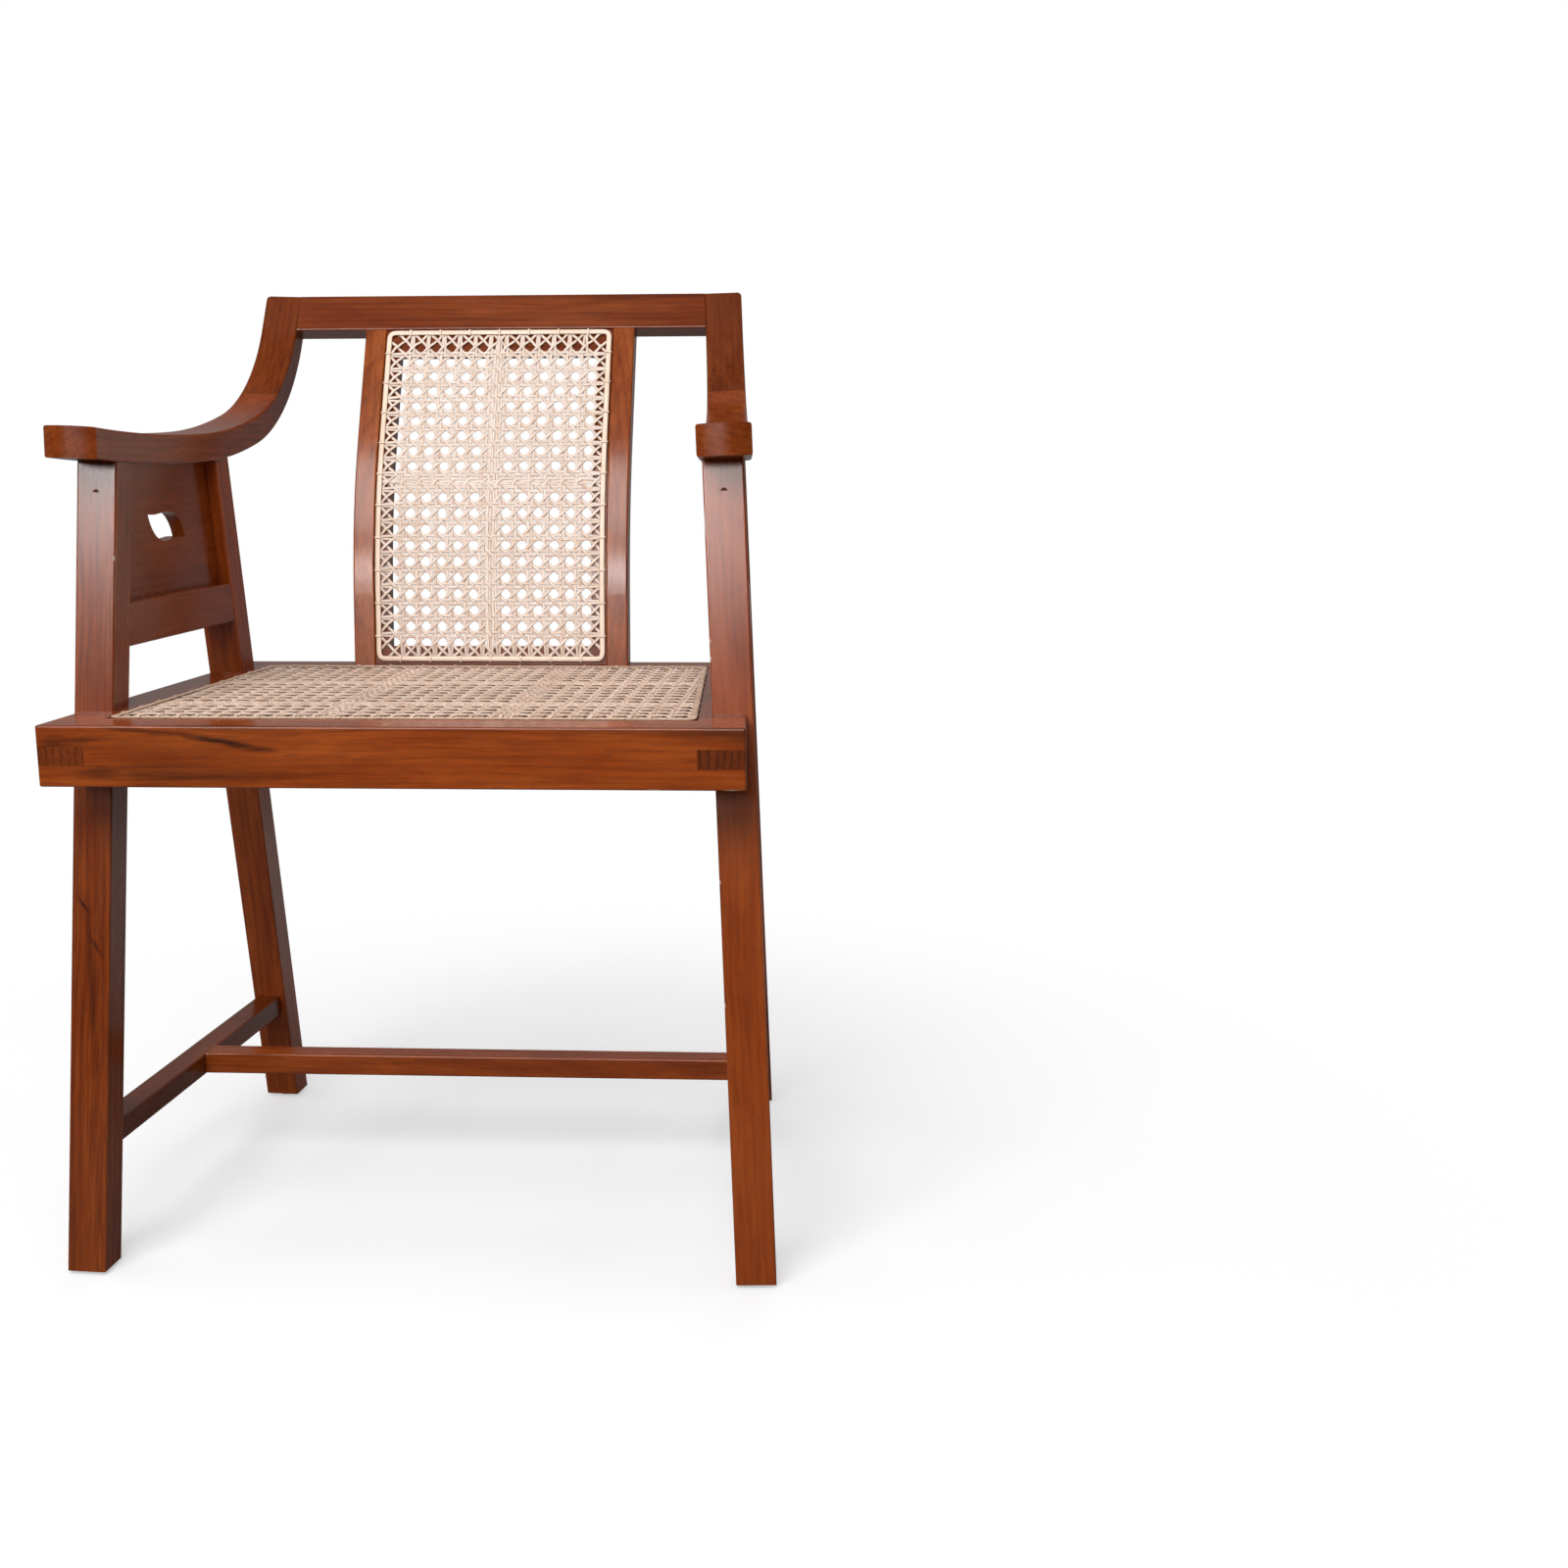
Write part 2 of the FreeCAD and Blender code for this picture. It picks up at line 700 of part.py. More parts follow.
def stile():
    """The left stile with a tenon at each end, and the mortises for them."""
    x0 = -stile_span / 2
    x1 = x0 + stile_width
    bar = bent_bar(0, stile_depth, x0, x1, -cut_overrun, 0)
    bar = bar.makeFillet(stile_edge_round, long_edges(bar, stile_width * 2))
    bar = bar.cut(block(-reach, reach, -reach, reach, -reach, seat_height))
    depth = stile_depth - 2 * stile_tenon_shoulder
    solids = []
    for extra in (0, glue_gap):
        longer = stile_tenon_length + extra
        tongue = bent_bar(stile_tenon_shoulder, depth, x0 + stile_tenon_shoulder, x1 - stile_tenon_shoulder,
                          -stile_tenon_length * 2, -longer)
        solids.append(tongue.cut(block(-reach, reach, -reach, reach, -reach, seat_height - longer)))
    return bar.fuse(solids[0]).removeSplitter(), solids[1]


panel_half = stile_span / 2 - stile_width - drop_in_clearance
hole_half = panel_half - cane_hole_inset
first_hole_run = drop_in_clearance + cane_hole_inset + cane_bed_depth
last_hole_run = splat_length - drop_in_clearance - cane_hole_inset


def back_holes():
    """Places and directions of the cane holes round the back panel, midway between the net's gaps."""
    rows = back_net_rows + 1
    columns = back_net_columns + 1
    places = []
    for run in (first_hole_run, last_hole_run):
        spot, back = splat_point(run)
        for column in range(columns):
            across = (2 * column + 1) / columns - 1
            places.append((spot + vec(hole_half * across, 0, 0), back))
    for row in range(rows):
        along = (2 * row + 1) / (2 * rows)
        spot, back = splat_point(first_hole_run + (last_hole_run - first_hole_run) * along)
        for side in (-hole_half, hole_half):
            places.append((spot + vec(side, 0, 0), back))
    return places


def back_panel():
    """The caned panel's four bars, drilled all round, and the plugs in their holes."""
    depth = back_bar_depth
    side = bent_bar(cane_bed_depth, depth, -panel_half, -panel_half + back_bar_width, drop_in_clearance,
                    drop_in_clearance)
    side = side.cut(block(-reach, reach, -reach, reach, -reach, seat_height + drop_in_clearance))
    inner = panel_half - back_bar_width
    tongue_inset = cane_bed_depth + (depth - back_bar_tenon_thickness) / 2
    half = inner + back_bar_tenon_length
    bars = {}
    for name, start, stop in (("top", splat_length - back_top_bar_height, drop_in_clearance),
                              ("bottom", drop_in_clearance, splat_length - back_bottom_bar_height)):
        bar = bent_slice(cane_bed_depth, depth, -inner, inner, start, stop)
        tongue = bent_slice(tongue_inset, back_bar_tenon_thickness, -half, half, start, stop)
        floor = block(-reach, reach, -reach, reach, -reach, seat_height + drop_in_clearance)
        tongue = tongue.cut(floor)
        side = side.cut(tongue)
        bars[name] = bar.cut(floor).fuse(tongue).removeSplitter()
    bars["left"] = side
    bars["right"] = mirrored(side)
    holes = []
    plugs = []
    for place, back in back_holes():
        seat = place + back * cane_bed_depth
        holes.append(Part.makeCylinder(cane_hole_diameter / 2, depth * 2, seat, back))
        plugs.append(Part.makeCylinder(plug_radius, cane_plug_length, seat, back))
    holes = Part.makeCompound(holes)
    return {name: bar.cut(holes) for name, bar in bars.items()}, Part.makeCompound(plugs)


def bent_slice(inset, depth, x0, x1, start, stop):
    """A straight piece of the back's profile, within one of its two straight runs."""
    if start < lower_run:
        foot = splat_base + splat_up * start
        head = splat_base + splat_up * (splat_length - stop)
        back = splat_back
    else:
        foot = crest_lower - crest_up * (splat_length - start)
        head = crest_lower - crest_up * stop
        back = crest_back
    front = back * inset
    rear = back * (inset + depth)
    points = [foot + front, foot + rear, head + rear, head + front]
    return prism([point + vec(x0, 0, 0) for point in points], vec(x1 - x0, 0, 0))


def back_cane():
    """The woven back as one holed sheet that follows the bend, and the binding round it."""
    rise = cane_thickness + binding_rise
    half_rim = binding_width / 2
    inset = cane_bed_depth - cane_thickness
    edge = hole_half - half_rim
    start = first_hole_run + half_rim
    stop = splat_length - last_hole_run + half_rim
    sheet = bent_bar(inset, cane_thickness, -edge, edge, start, stop)
    rim_half = hole_half + half_rim
    rim_inset = cane_bed_depth - rise
    rim = bent_bar(rim_inset, rise, -rim_half, rim_half, start - binding_width, stop - binding_width)
    rim = rim.cut(bent_bar(-rise, rise * 2 + cane_bed_depth, -edge, edge, start, stop))
    gaps = []
    rows = back_net_rows + 1
    columns = back_net_columns + 1
    for row in range(1, rows):
        spot, back = splat_point(last_hole_run - (last_hole_run - first_hole_run) * row / rows)
        for column in range(1, columns):
            if row - 1 != back_net_closed_row and column * 2 != columns:
                centre = spot + vec(hole_half * (2 * column / columns - 1), 0, 0) - back * rise
                gaps.append(Part.makeCylinder(cane_gap_radius, rise * 2, centre, back))
    return sheet.cut(Part.makeCompound(gaps)), rim


def build():
    """All the pieces of the chair, by name."""
    parts = {}

    def both(name, shape):
        parts["left_" + name] = shape
        parts["right_" + name] = mirrored(shape)

    front_rail, rear_rail, side_rail = seat_frame()
    over = over_arm()
    arm, post = arm_and_post()
    crest, crest_mortise = crest_rail()
    legs = {"front": (front_leg_setback, front_leg_slope), "rear": (rear_leg_setback, rear_leg_slope)}
    blanks = {name: leg_blank(*place) for name, place in legs.items()}

    grooves = panel_blank(over, groove_clearance)
    panel = panel_blank(over, 0).cut(cutout())
    panel_rail, panel_mortise = tie(panel_rail_top, panel_rail_height, panel_rail_inset,
                                    leg_thickness - 2 * panel_rail_inset, rail_tenon_top_shoulder,
                                    groove_depth, blanks.values())
    stretcher, stretcher_mortise = tie(stretcher_drop, stretcher_height, leg_middle - stretcher_width / 2,
                                       stretcher_width, stretcher_tenon_shoulder, stretcher_tenon_shoulder,
                                       blanks.values())
    both("arm_panel", placed(panel))
    both("panel_rail", placed(panel_rail.cut(grooves)))
    arm = arm.cut(grooves)

    floor = below_floor()
    glides = []
    peg = leg_peg_bar(leg_peg_diameter / 2 - plug_clearance)
    peg_hole = leg_peg_bar(leg_peg_diameter / 2)
    for name, (setback, slope) in legs.items():
        outer = slab(leg_outline(setback, slope, 0, leg_depth), -cut_overrun, cut_overrun + halving_depth)
        side_rail = side_rail.cut(placed(outer))
        rear_rail = rear_rail.cut(placed(outer)).cut(mirrored(placed(outer)))
        leg = blanks[name].cut(over).fuse(leg_tenon(setback, slope, over, leg_tenon_length)).removeSplitter()
        arm = arm.cut(leg_tenon(setback, slope, over, leg_tenon_length + glue_gap))
        leg = leg.cut(grooves).cut(panel_mortise).cut(stretcher_mortise)
        if name == "front":
            leg = leg.cut(peg_hole)
        foot = foot_place(setback, slope)
        blanks[name] = placed(leg).cut(floor).cut(nail_hole(foot))
        glides.append(glide(foot))
    for name in legs:
        both(name + "_leg", blanks[name].cut(side_rail).cut(rear_rail))
    both("seat_rail", side_rail)
    both("arm", placed(arm))
    both("back_post", placed(post).cut(crest_mortise))
    parts["foot_glides"] = Part.makeCompound(glides + [mirrored(shape) for shape in glides])
    parts["leg_pegs"] = Part.makeCompound([placed(peg), mirrored(placed(peg))])

    cross_low = stretcher_top - stretcher_height
    cross_rear = cross_stretcher_setback + stretcher_width
    cross = block(-reach, reach, cross_stretcher_setback, cross_rear, cross_low, stretcher_top)
    cross = cross.makeFillet(leg_edge_round, long_edges(cross, reach))
    tenon_gap = (stretcher_width - cross_tenon_width) / 2
    tenon = block(-reach, reach, cross_stretcher_setback + tenon_gap, cross_rear - tenon_gap,
                  cross_low + stretcher_tenon_shoulder, stretcher_top - stretcher_tenon_shoulder)
    inner_face = leg_middle + stretcher_width / 2
    mortise = tenon.cut(outside(inner_face - cross_tenon_length - glue_gap))
    tenon = tenon.cut(outside(inner_face - cross_tenon_length))
    parts["cross_stretcher"] = cross.cut(outside(inner_face)).fuse(tenon).removeSplitter()
    both("side_stretcher", placed(stretcher).cut(mortise))

    left_stile, stile_mortise = stile()
    mortises = [stile_mortise, mirrored(stile_mortise)]
    both("back_stile", left_stile)
    parts["crest_rail"] = crest.cut(mortises)
    parts["front_seat_rail"] = front_rail
    parts["rear_seat_rail"] = rear_rail.cut(mortises)

    seat_bars, seat_plugs = drop_in_seat()
    parts["seat_frame_front_bar"], parts["seat_frame_rear_bar"], side_bar = seat_bars
    both("seat_frame_bar", side_bar)
    parts["seat_cane_plugs"] = seat_plugs
    parts["seat_cane"], parts["seat_cane_binding"] = seat_cane()

    back_bars, back_plugs = back_panel()
    for name, bar in back_bars.items():
        parts["back_panel_" + name + "_bar"] = bar
    parts["back_cane_plugs"] = back_plugs
    parts["back_cane"], parts["back_cane_binding"] = back_cane()
    return parts


chair = build()
box = Part.makeCompound(list(chair.values())).BoundBox
os.makedirs("parts", exist_ok=True)
for node, shape in sorted(chair.items()):
    shape.translate(vec(0, -box.Center.y, 0))
    shape.exportStep("parts/" + node + ".step")
    print(node, len(shape.Solids), shape.isValid(), round(shape.Volume))
print("overall", round(box.XLength, 1), round(box.YLength, 1), round(box.ZMax, 1))
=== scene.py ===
import logging
import math
from dataclasses import dataclass, field
from enum import Enum
from typing import Callable, Sequence

import bpy
import numpy as np
from mathutils import Matrix, Vector


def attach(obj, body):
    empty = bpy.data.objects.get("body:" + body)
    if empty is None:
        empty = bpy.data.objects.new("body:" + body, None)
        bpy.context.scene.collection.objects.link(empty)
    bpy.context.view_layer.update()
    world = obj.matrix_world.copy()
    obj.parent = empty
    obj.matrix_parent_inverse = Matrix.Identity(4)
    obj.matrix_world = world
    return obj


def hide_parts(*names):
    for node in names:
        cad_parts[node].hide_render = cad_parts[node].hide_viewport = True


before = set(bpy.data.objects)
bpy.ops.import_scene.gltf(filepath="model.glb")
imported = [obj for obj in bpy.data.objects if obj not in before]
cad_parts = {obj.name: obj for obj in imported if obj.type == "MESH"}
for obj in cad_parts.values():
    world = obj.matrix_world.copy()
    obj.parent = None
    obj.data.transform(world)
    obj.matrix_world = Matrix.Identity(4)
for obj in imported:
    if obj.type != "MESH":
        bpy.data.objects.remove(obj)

# A wooden armchair with a caned seat and back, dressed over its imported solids.
# Metres; the front faces -Y and +Z is up. Left is the side at -X, as seen from the front.

LOG = logging.getLogger("cane_armchair")
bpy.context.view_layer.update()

Socket = bpy.types.NodeSocket
Line = np.ndarray
Mapper = Callable[[np.ndarray], np.ndarray]
Triple = tuple[float, float, float]
Colour = tuple[float, float, float, float]


class NodeSketch:
    """A node tree that is being drawn: it adds nodes, fills their sockets and joins them."""

    def __init__(self, tree: bpy.types.NodeTree) -> None:
        """Start on an empty tree.

        Args:
            tree: The shader or geometry tree to draw in.
        """
        self.tree = tree
        tree.nodes.clear()

    def add(self, kind: str, inputs: dict | None = None, **settings: object) -> bpy.types.Node:
        """Add one node.

        Args:
            kind: The node's type name.
            inputs: Values or sockets, by the name or number of the input.
            settings: Properties of the node itself.

        Returns:
            The new node.
        """
        node = self.tree.nodes.new(kind)
        for key, value in settings.items():
            setattr(node, key, value)
        for key, value in (inputs or {}).items():
            if isinstance(value, Socket):
                self.tree.links.new(value, node.inputs[key])
            else:
                node.inputs[key].default_value = value
        return node

    def first(self, kind: str, inputs: dict | None = None, **settings: object) -> Socket:
        """Add one node and take its first output."""
        return self.add(kind, inputs, **settings).outputs[0]

    def mix(self, factor: object, under: object, over: object, blend: str = "MIX") -> Socket:
        """Mix two colours.

        Args:
            factor: How much of the second colour shows.
            under: The colour underneath.
            over: The colour laid over it.
            blend: The way of mixing.

        Returns:
            The socket with the mixed colour.
        """
        inputs = {0: factor, 6: under, 7: over}
        return self.add("ShaderNodeMix", inputs, data_type="RGBA", blend_type=blend).outputs[2]

    def wash(self, under: object, share: object, strength: object, over: object) -> Socket:
        """Lay a thinned colour over another one.

        Args:
            under: The colour underneath.
            share: Where the thinned colour shows.
            strength: How strongly it shows there.
            over: The thinned colour.

        Returns:
            The socket with the mixed colour.
        """
        return self.mix(self.math("MULTIPLY", share, strength), under, over)

    def math(self, operation: str, *values: object) -> Socket:
        """Work out a number.

        Args:
            operation: The name of the sum.
            values: Numbers or sockets.

        Returns:
            The socket with the result.
        """
        return self.add("ShaderNodeMath", dict(enumerate(values)), operation=operation).outputs[0]

    def vector_math(self, operation: str, *values: object) -> Socket:
        """Work out a vector, or a number from vectors.

        Args:
            operation: The name of the sum.
            values: Vectors or sockets.

        Returns:
            The socket with the result.
        """
        node = self.add("ShaderNodeVectorMath", dict(enumerate(values)), operation=operation)
        return node.outputs["Value" if operation in ("LENGTH", "DOT_PRODUCT") else "Vector"]

    def spread(self, value: object, low: float, high: float, start: float = 0.0, end: float = 1.0,
               curve: str = "LINEAR") -> Socket:
        """Carry a number from its own range over to another one.

        Args:
            value: The number.
            low: What it becomes where its own range starts.
            high: What it becomes where that ends.
            start: Where its own range starts.
            end: Where it ends.
            curve: How it goes from one end to the other.

        Returns:
            The socket with the new number.
        """
        inputs = {"Value": value, 1: start, 2: end, 3: low, 4: high}
        return self.first("ShaderNodeMapRange", inputs, interpolation_type=curve)

    def ramp(self, value: Socket, stops: Sequence[tuple[float, float]]) -> Socket:
        """Bend a number along a grey ramp.

        Args:
            value: The number to bend.
            stops: Places on the ramp with their brightness.

        Returns:
            The socket with the bent number.
        """
        node = self.add("ShaderNodeValToRGB", {"Fac": value})
        points = node.color_ramp.elements
        while len(points) < len(stops):
            points.new(1.0)
        for point, (place, grey) in zip(points, stops):
            point.position = place
            point.color = (grey, grey, grey, 1.0)
        return node.outputs["Color"]

    def noise(self, vector: object, scale: float, detail: float, rough: float = 0.5) -> Socket:
        """Add a cloud of noise.

        Args:
            vector: Where it is read.
            scale: How fine it is.
            detail: How many finer clouds are laid over it.
            rough: How strong those are.

        Returns:
            The socket with its value.
        """
        inputs = {"Vector": vector, "Scale": scale, "Detail": detail, "Roughness": rough}
        return self.add("ShaderNodeTexNoise", inputs).outputs["Fac"]

    def scaled(self, vector: object, scale: Triple) -> Socket:
        """Stretch the space a pattern is read in."""
        return self.first("ShaderNodeMapping", {"Vector": vector, "Scale": scale})

    def skin(self, colour: Socket, gloss: Socket, relief: Socket, bump: tuple[float, float],
             more: dict[str, float]) -> None:
        """Finish a material with a lit surface.

        Args:
            colour: Its colour.
            gloss: Its roughness.
            relief: The height of its fine relief.
            bump: How strongly the relief shows, and how deep it is.
            more: Further inputs of the surface, by name.
        """
        raised = self.first("ShaderNodeBump", {"Strength": bump[0], "Distance": bump[1], "Height": relief})
        inputs = {"Base Color": colour, "Roughness": gloss, "Normal": raised, **more}
        self.add("ShaderNodeOutputMaterial", {"Surface": self.first("ShaderNodeBsdfPrincipled", inputs)})


def fresh_material(name: str) -> tuple[bpy.types.Material, NodeSketch]:
    """Start a material.

    Args:
        name: The material's name.

    Returns:
        The material and its empty tree.
    """
    mat = bpy.data.materials.new(name)
    mat.use_nodes = True
    return mat, NodeSketch(mat.node_tree)


class Side(Enum):
    """The two sides of the chair, as the sign of X."""

    LEFT = -1
    RIGHT = 1


class Tone(Enum):
    """How light a board came out of its stain; for the crest rail, the back posts and the rear legs it also stands in
    part for painted light or shade.
    """

    DEEP = (0.62, 0.62, 0.62, 1.0)
    DARK = (0.78, 0.78, 0.78, 1.0)
    BROWN = (0.88, 0.88, 0.88, 1.0)
    MIDDLE = (1.0, 1.0, 1.0, 1.0)
    WARM = (1.12, 1.12, 1.12, 1.0)
    GOLD = (1.24, 1.24, 1.08, 1.0)
    HONEY = (1.18, 1.42, 1.60, 1.0)


@dataclass(frozen=True)
class SideFrame:
    """How a side frame stands: turned in towards the back, leaning out towards the floor."""

    toe_in: float = math.radians(3.94)
    splay: float = math.radians(1.88)
    front_leg_slope: float = math.tan(math.radians(6.7))
    rear_leg_slope: float = -math.tan(math.radians(13.04))
    post_lean: float = math.radians(24.6)

    def direction(self, side: Side, along: float, up: float) -> Vector:
        """A direction within the side frame.

        Args:
            side: Which of the two frames.
            along: Its part from front to back.
            up: Its part upwards.

        Returns:
            The direction in the chair's own axes.
        """
        turn = Matrix.Rotation(-self.toe_in, 3, "Z") @ Matrix.Rotation(self.splay, 3, "Y")
        left = turn @ Vector((0.0, along, up))
        return Vector((-left.x * side.value, left.y, left.z)).normalized()


@dataclass(frozen=True)
class Mark:
    """A dark flame or knot in a board, drawn out along the grain, or a pale mark: a spot of real wear on an edge, or a
    painted highlight along a rounded edge.
    """

    place: Triple
    half_length: float
    half_height: float
    tilt: float = 0.0
    strength: float = 0.9
    # Pale marks: real edge wear, and one painted highlight along a rounded edge.
    wear_and_highlight: bool = False
    raggedness: float = 1.6

    def shade(self, draw: NodeSketch, place: Socket, turn: tuple[float, ...]) -> Socket:
        """How strongly the mark shows at each point.

        Args:
            draw: The tree to draw in.
            place: The points of the piece.
            turn: The turn that brings the grain onto X.

        Returns:
            The socket with the strength.
        """
        moved = draw.vector_math("SUBTRACT", place, self.place)
        turned = draw.first("ShaderNodeMapping", {"Vector": moved, "Rotation": turn})
        slanted = draw.first("ShaderNodeMapping", {"Vector": turned, "Rotation": (0.0, self.tilt, 0.0)})
        oval = draw.scaled(slanted, (1.0 / self.half_length, 1.0 / self.half_height, 1.0 / self.half_height))
        ragged = draw.noise(draw.scaled(turned, (40.0, 260.0, 260.0)), 1.0, 3.0, 0.6)
        ragged = draw.math("MULTIPLY", draw.math("SUBTRACT", ragged, 0.5), self.raggedness)
        edge = draw.math("ADD", draw.vector_math("LENGTH", oval), ragged)
        return draw.spread(edge, self.strength, 0.0, 0.25, 1.05)


@dataclass(frozen=True)
class Board:
    """One wooden piece: its node, which way its grain runs and how it came out of the stain.

    A board without a seed is sawn on the quarter.
    """

    node: str
    grain: Vector
    seed: int | None
    tone: Tone = Tone.MIDDLE
    veins: float = 0.35
    marks: tuple[Mark, ...] = ()
    end_shade: float = 0.35
    figure: float = 1.0

    @property
    def offset(self) -> Triple:
        """Where in the trunk the board was cut.

        Returns:
            The shift from the piece to the trunk.
        """
        if self.seed is None:
            return (0.7, 0.14, -0.43)
        spot = np.random.default_rng(self.seed).uniform(0.0, 1.0, 3)
        return (float(spot[0]) * 3.0, 0.05 + float(spot[1]) * 0.09, -0.04 - float(spot[2]) * 0.09)

    @property
    def turn(self) -> tuple[float, ...]:
        """The turn that brings the grain onto X."""
        return tuple(self.grain.rotation_difference(Vector((1.0, 0.0, 0.0))).to_euler())


@dataclass(frozen=True)
class Grain:
    """The patterns of one board, as sockets of its shader tree."""

    late_wood: Socket
    clouds: Socket
    streaks: Socket
    veins: Socket
    fibres: Socket
    pores: Socket


@dataclass(frozen=True)
class WoodFinish:
    """Stained and lacquered hardwood with growth rings, fibres, pores and dark veins."""

    name: str = "stained_wood"
    ring: Colour = (0.095, 0.0135, 0.0018, 1.0)
    base: Colour = (0.215, 0.0345, 0.0038, 1.0)
    warm: Colour = (0.310, 0.0620, 0.0080, 1.0)
    vein: Colour = (0.020, 0.0050, 0.0020, 1.0)
    # Pale colour for real edge wear and for a painted highlight along a rounded edge.
    wear_and_highlight: Colour = (0.52, 0.41, 0.34, 1.0)
    ring_scale: float = 54.0
    stretch: float = 0.075
    sway: float = 0.011
    specular: float = 0.30
    coat: float = 0.10
    coat_roughness: float = 0.14

    def grain(self, draw: NodeSketch, place: Socket, board: Board) -> Grain:
        """Draw the board's patterns in the space of the trunk it was cut from.

        Args:
            draw: The tree to draw in.
            place: The points of the piece.
            board: The piece that gets them.

        Returns:
            The patterns.
        """
        wood = draw.first("ShaderNodeMapping", {"Vector": place, "Rotation": board.turn, "Location": board.offset})
        cloud = {"Vector": draw.scaled(wood, (5.0, 22.0, 22.0)), "Scale": 1.0, "Detail": 2.0}
        bend = draw.add("ShaderNodeTexNoise", cloud).outputs["Color"]
        aside = draw.scaled(draw.vector_math("SUBTRACT", bend, (0.5, 0.5, 0.5)), (0.0, self.sway, self.sway))
        swayed = draw.vector_math("ADD", wood, aside)
        figure = draw.scaled(swayed, (self.stretch, 1.0, 1.0))
        waves = {"Vector": figure, "Scale": self.ring_scale, "Distortion": 5.0, "Detail": 3.0,
                 "Detail Scale": 0.35, "Detail Roughness": 0.6}
        rings = draw.add("ShaderNodeTexWave", waves, wave_type="RINGS", rings_direction="X", wave_profile="SAW")
        return Grain(
            late_wood=draw.ramp(rings.outputs["Fac"], ((0.0, 0.0), (0.5, 0.08), (0.88, 1.0), (1.0, 0.1))),
            clouds=draw.noise(draw.scaled(swayed, (0.2, 1.0, 1.0)), 34.0, 3.0, 0.6),
            streaks=draw.ramp(draw.noise(draw.scaled(swayed, (0.045, 1.0, 1.0)), 230.0, 5.0, 0.66),
                              ((0.46, 0.0), (0.66, 1.0))),
            veins=draw.ramp(draw.noise(draw.scaled(figure, (0.8, 1.0, 1.0)), 36.0, 5.0, 0.55),
                            ((0.60, 0.0), (0.70, 1.0))),
            fibres=draw.noise(draw.scaled(swayed, (24.0, 800.0, 800.0)), 1.0, 3.0, 0.6),
            pores=draw.ramp(draw.noise(draw.scaled(wood, (85.0, 2100.0, 2100.0)), 1.0, 1.0),
                            ((0.60, 0.0), (0.72, 1.0))),
        )

    def colour(self, draw: NodeSketch, coords: bpy.types.Node, board: Board, grain: Grain) -> Socket:
        """Lay the board's colours over each other.

        Args:
            draw: The tree to draw in.
            coords: The piece's coordinates.
            board: The piece that gets them.
            grain: Its patterns.

        Returns:
            The socket with the colour.
        """
        colour = draw.mix(draw.ramp(grain.clouds, ((0.32, 0.0), (0.66, 1.0))), self.base, self.warm)
        uneven = draw.spread(grain.clouds, 0.48 * board.figure, 0.16 * board.figure, 0.35, 0.65)
        threads = draw.ramp(grain.fibres, ((0.38, 0.0), (0.72, 1.0)))
        for share, strength, over in (
            (grain.late_wood, uneven, self.ring),
            (grain.streaks, 0.48 * board.figure, self.ring),
            (threads, 0.42 * board.figure, self.ring),
            (grain.pores, 0.45, self.vein),
            (grain.veins, board.veins, self.vein),
        ):
            colour = draw.wash(colour, share, strength, over)
        # Dark marks lay figure; pale marks lay real wear and a painted highlight.
        for mark in board.marks:
            shade = mark.shade(draw, coords.outputs["Object"], board.turn)
            colour = draw.mix(shade, colour, self.wear_and_highlight if mark.wear_and_highlight else self.vein)
        across = draw.vector_math("DOT_PRODUCT", coords.outputs["Normal"], tuple(board.grain))
        end_grain = draw.ramp(draw.math("ABSOLUTE", across), ((0.72, 0.0), (0.96, 1.0)))
        darker = draw.math("ADD", draw.math("MULTIPLY", grain.late_wood, 0.5), 0.7)
        darker = draw.math("MULTIPLY", darker, board.end_shade)
        colour = draw.wash(colour, end_grain, darker, self.vein)
        return draw.mix(1.0, colour, board.tone.value, "MULTIPLY")

    def material(self, board: Board) -> bpy.types.Material:
        """Make the finish for one board.

        Args:
            board: The piece that gets it.

        Returns:
            The new material.
        """
        mat, draw = fresh_material(f"{self.name}_{board.node}")
        coords = draw.add("ShaderNodeTexCoord")
        grain = self.grain(draw, coords.outputs["Object"], board)
        gloss = draw.math("ADD", draw.spread(grain.clouds, 0.16, 0.27), draw.math("MULTIPLY", grain.pores, 0.08))
        relief = draw.math("ADD", draw.math("MULTIPLY", grain.fibres, 0.5), draw.math("MULTIPLY", grain.pores, -0.8))
        colour = self.colour(draw, coords, board, grain)
        draw.skin(colour, gloss, relief, (0.05 * board.figure, 0.0004), {
            "Specular IOR Level": self.specular, "Coat Weight": self.coat, "Coat Roughness": self.coat_roughness,
        })
        return mat


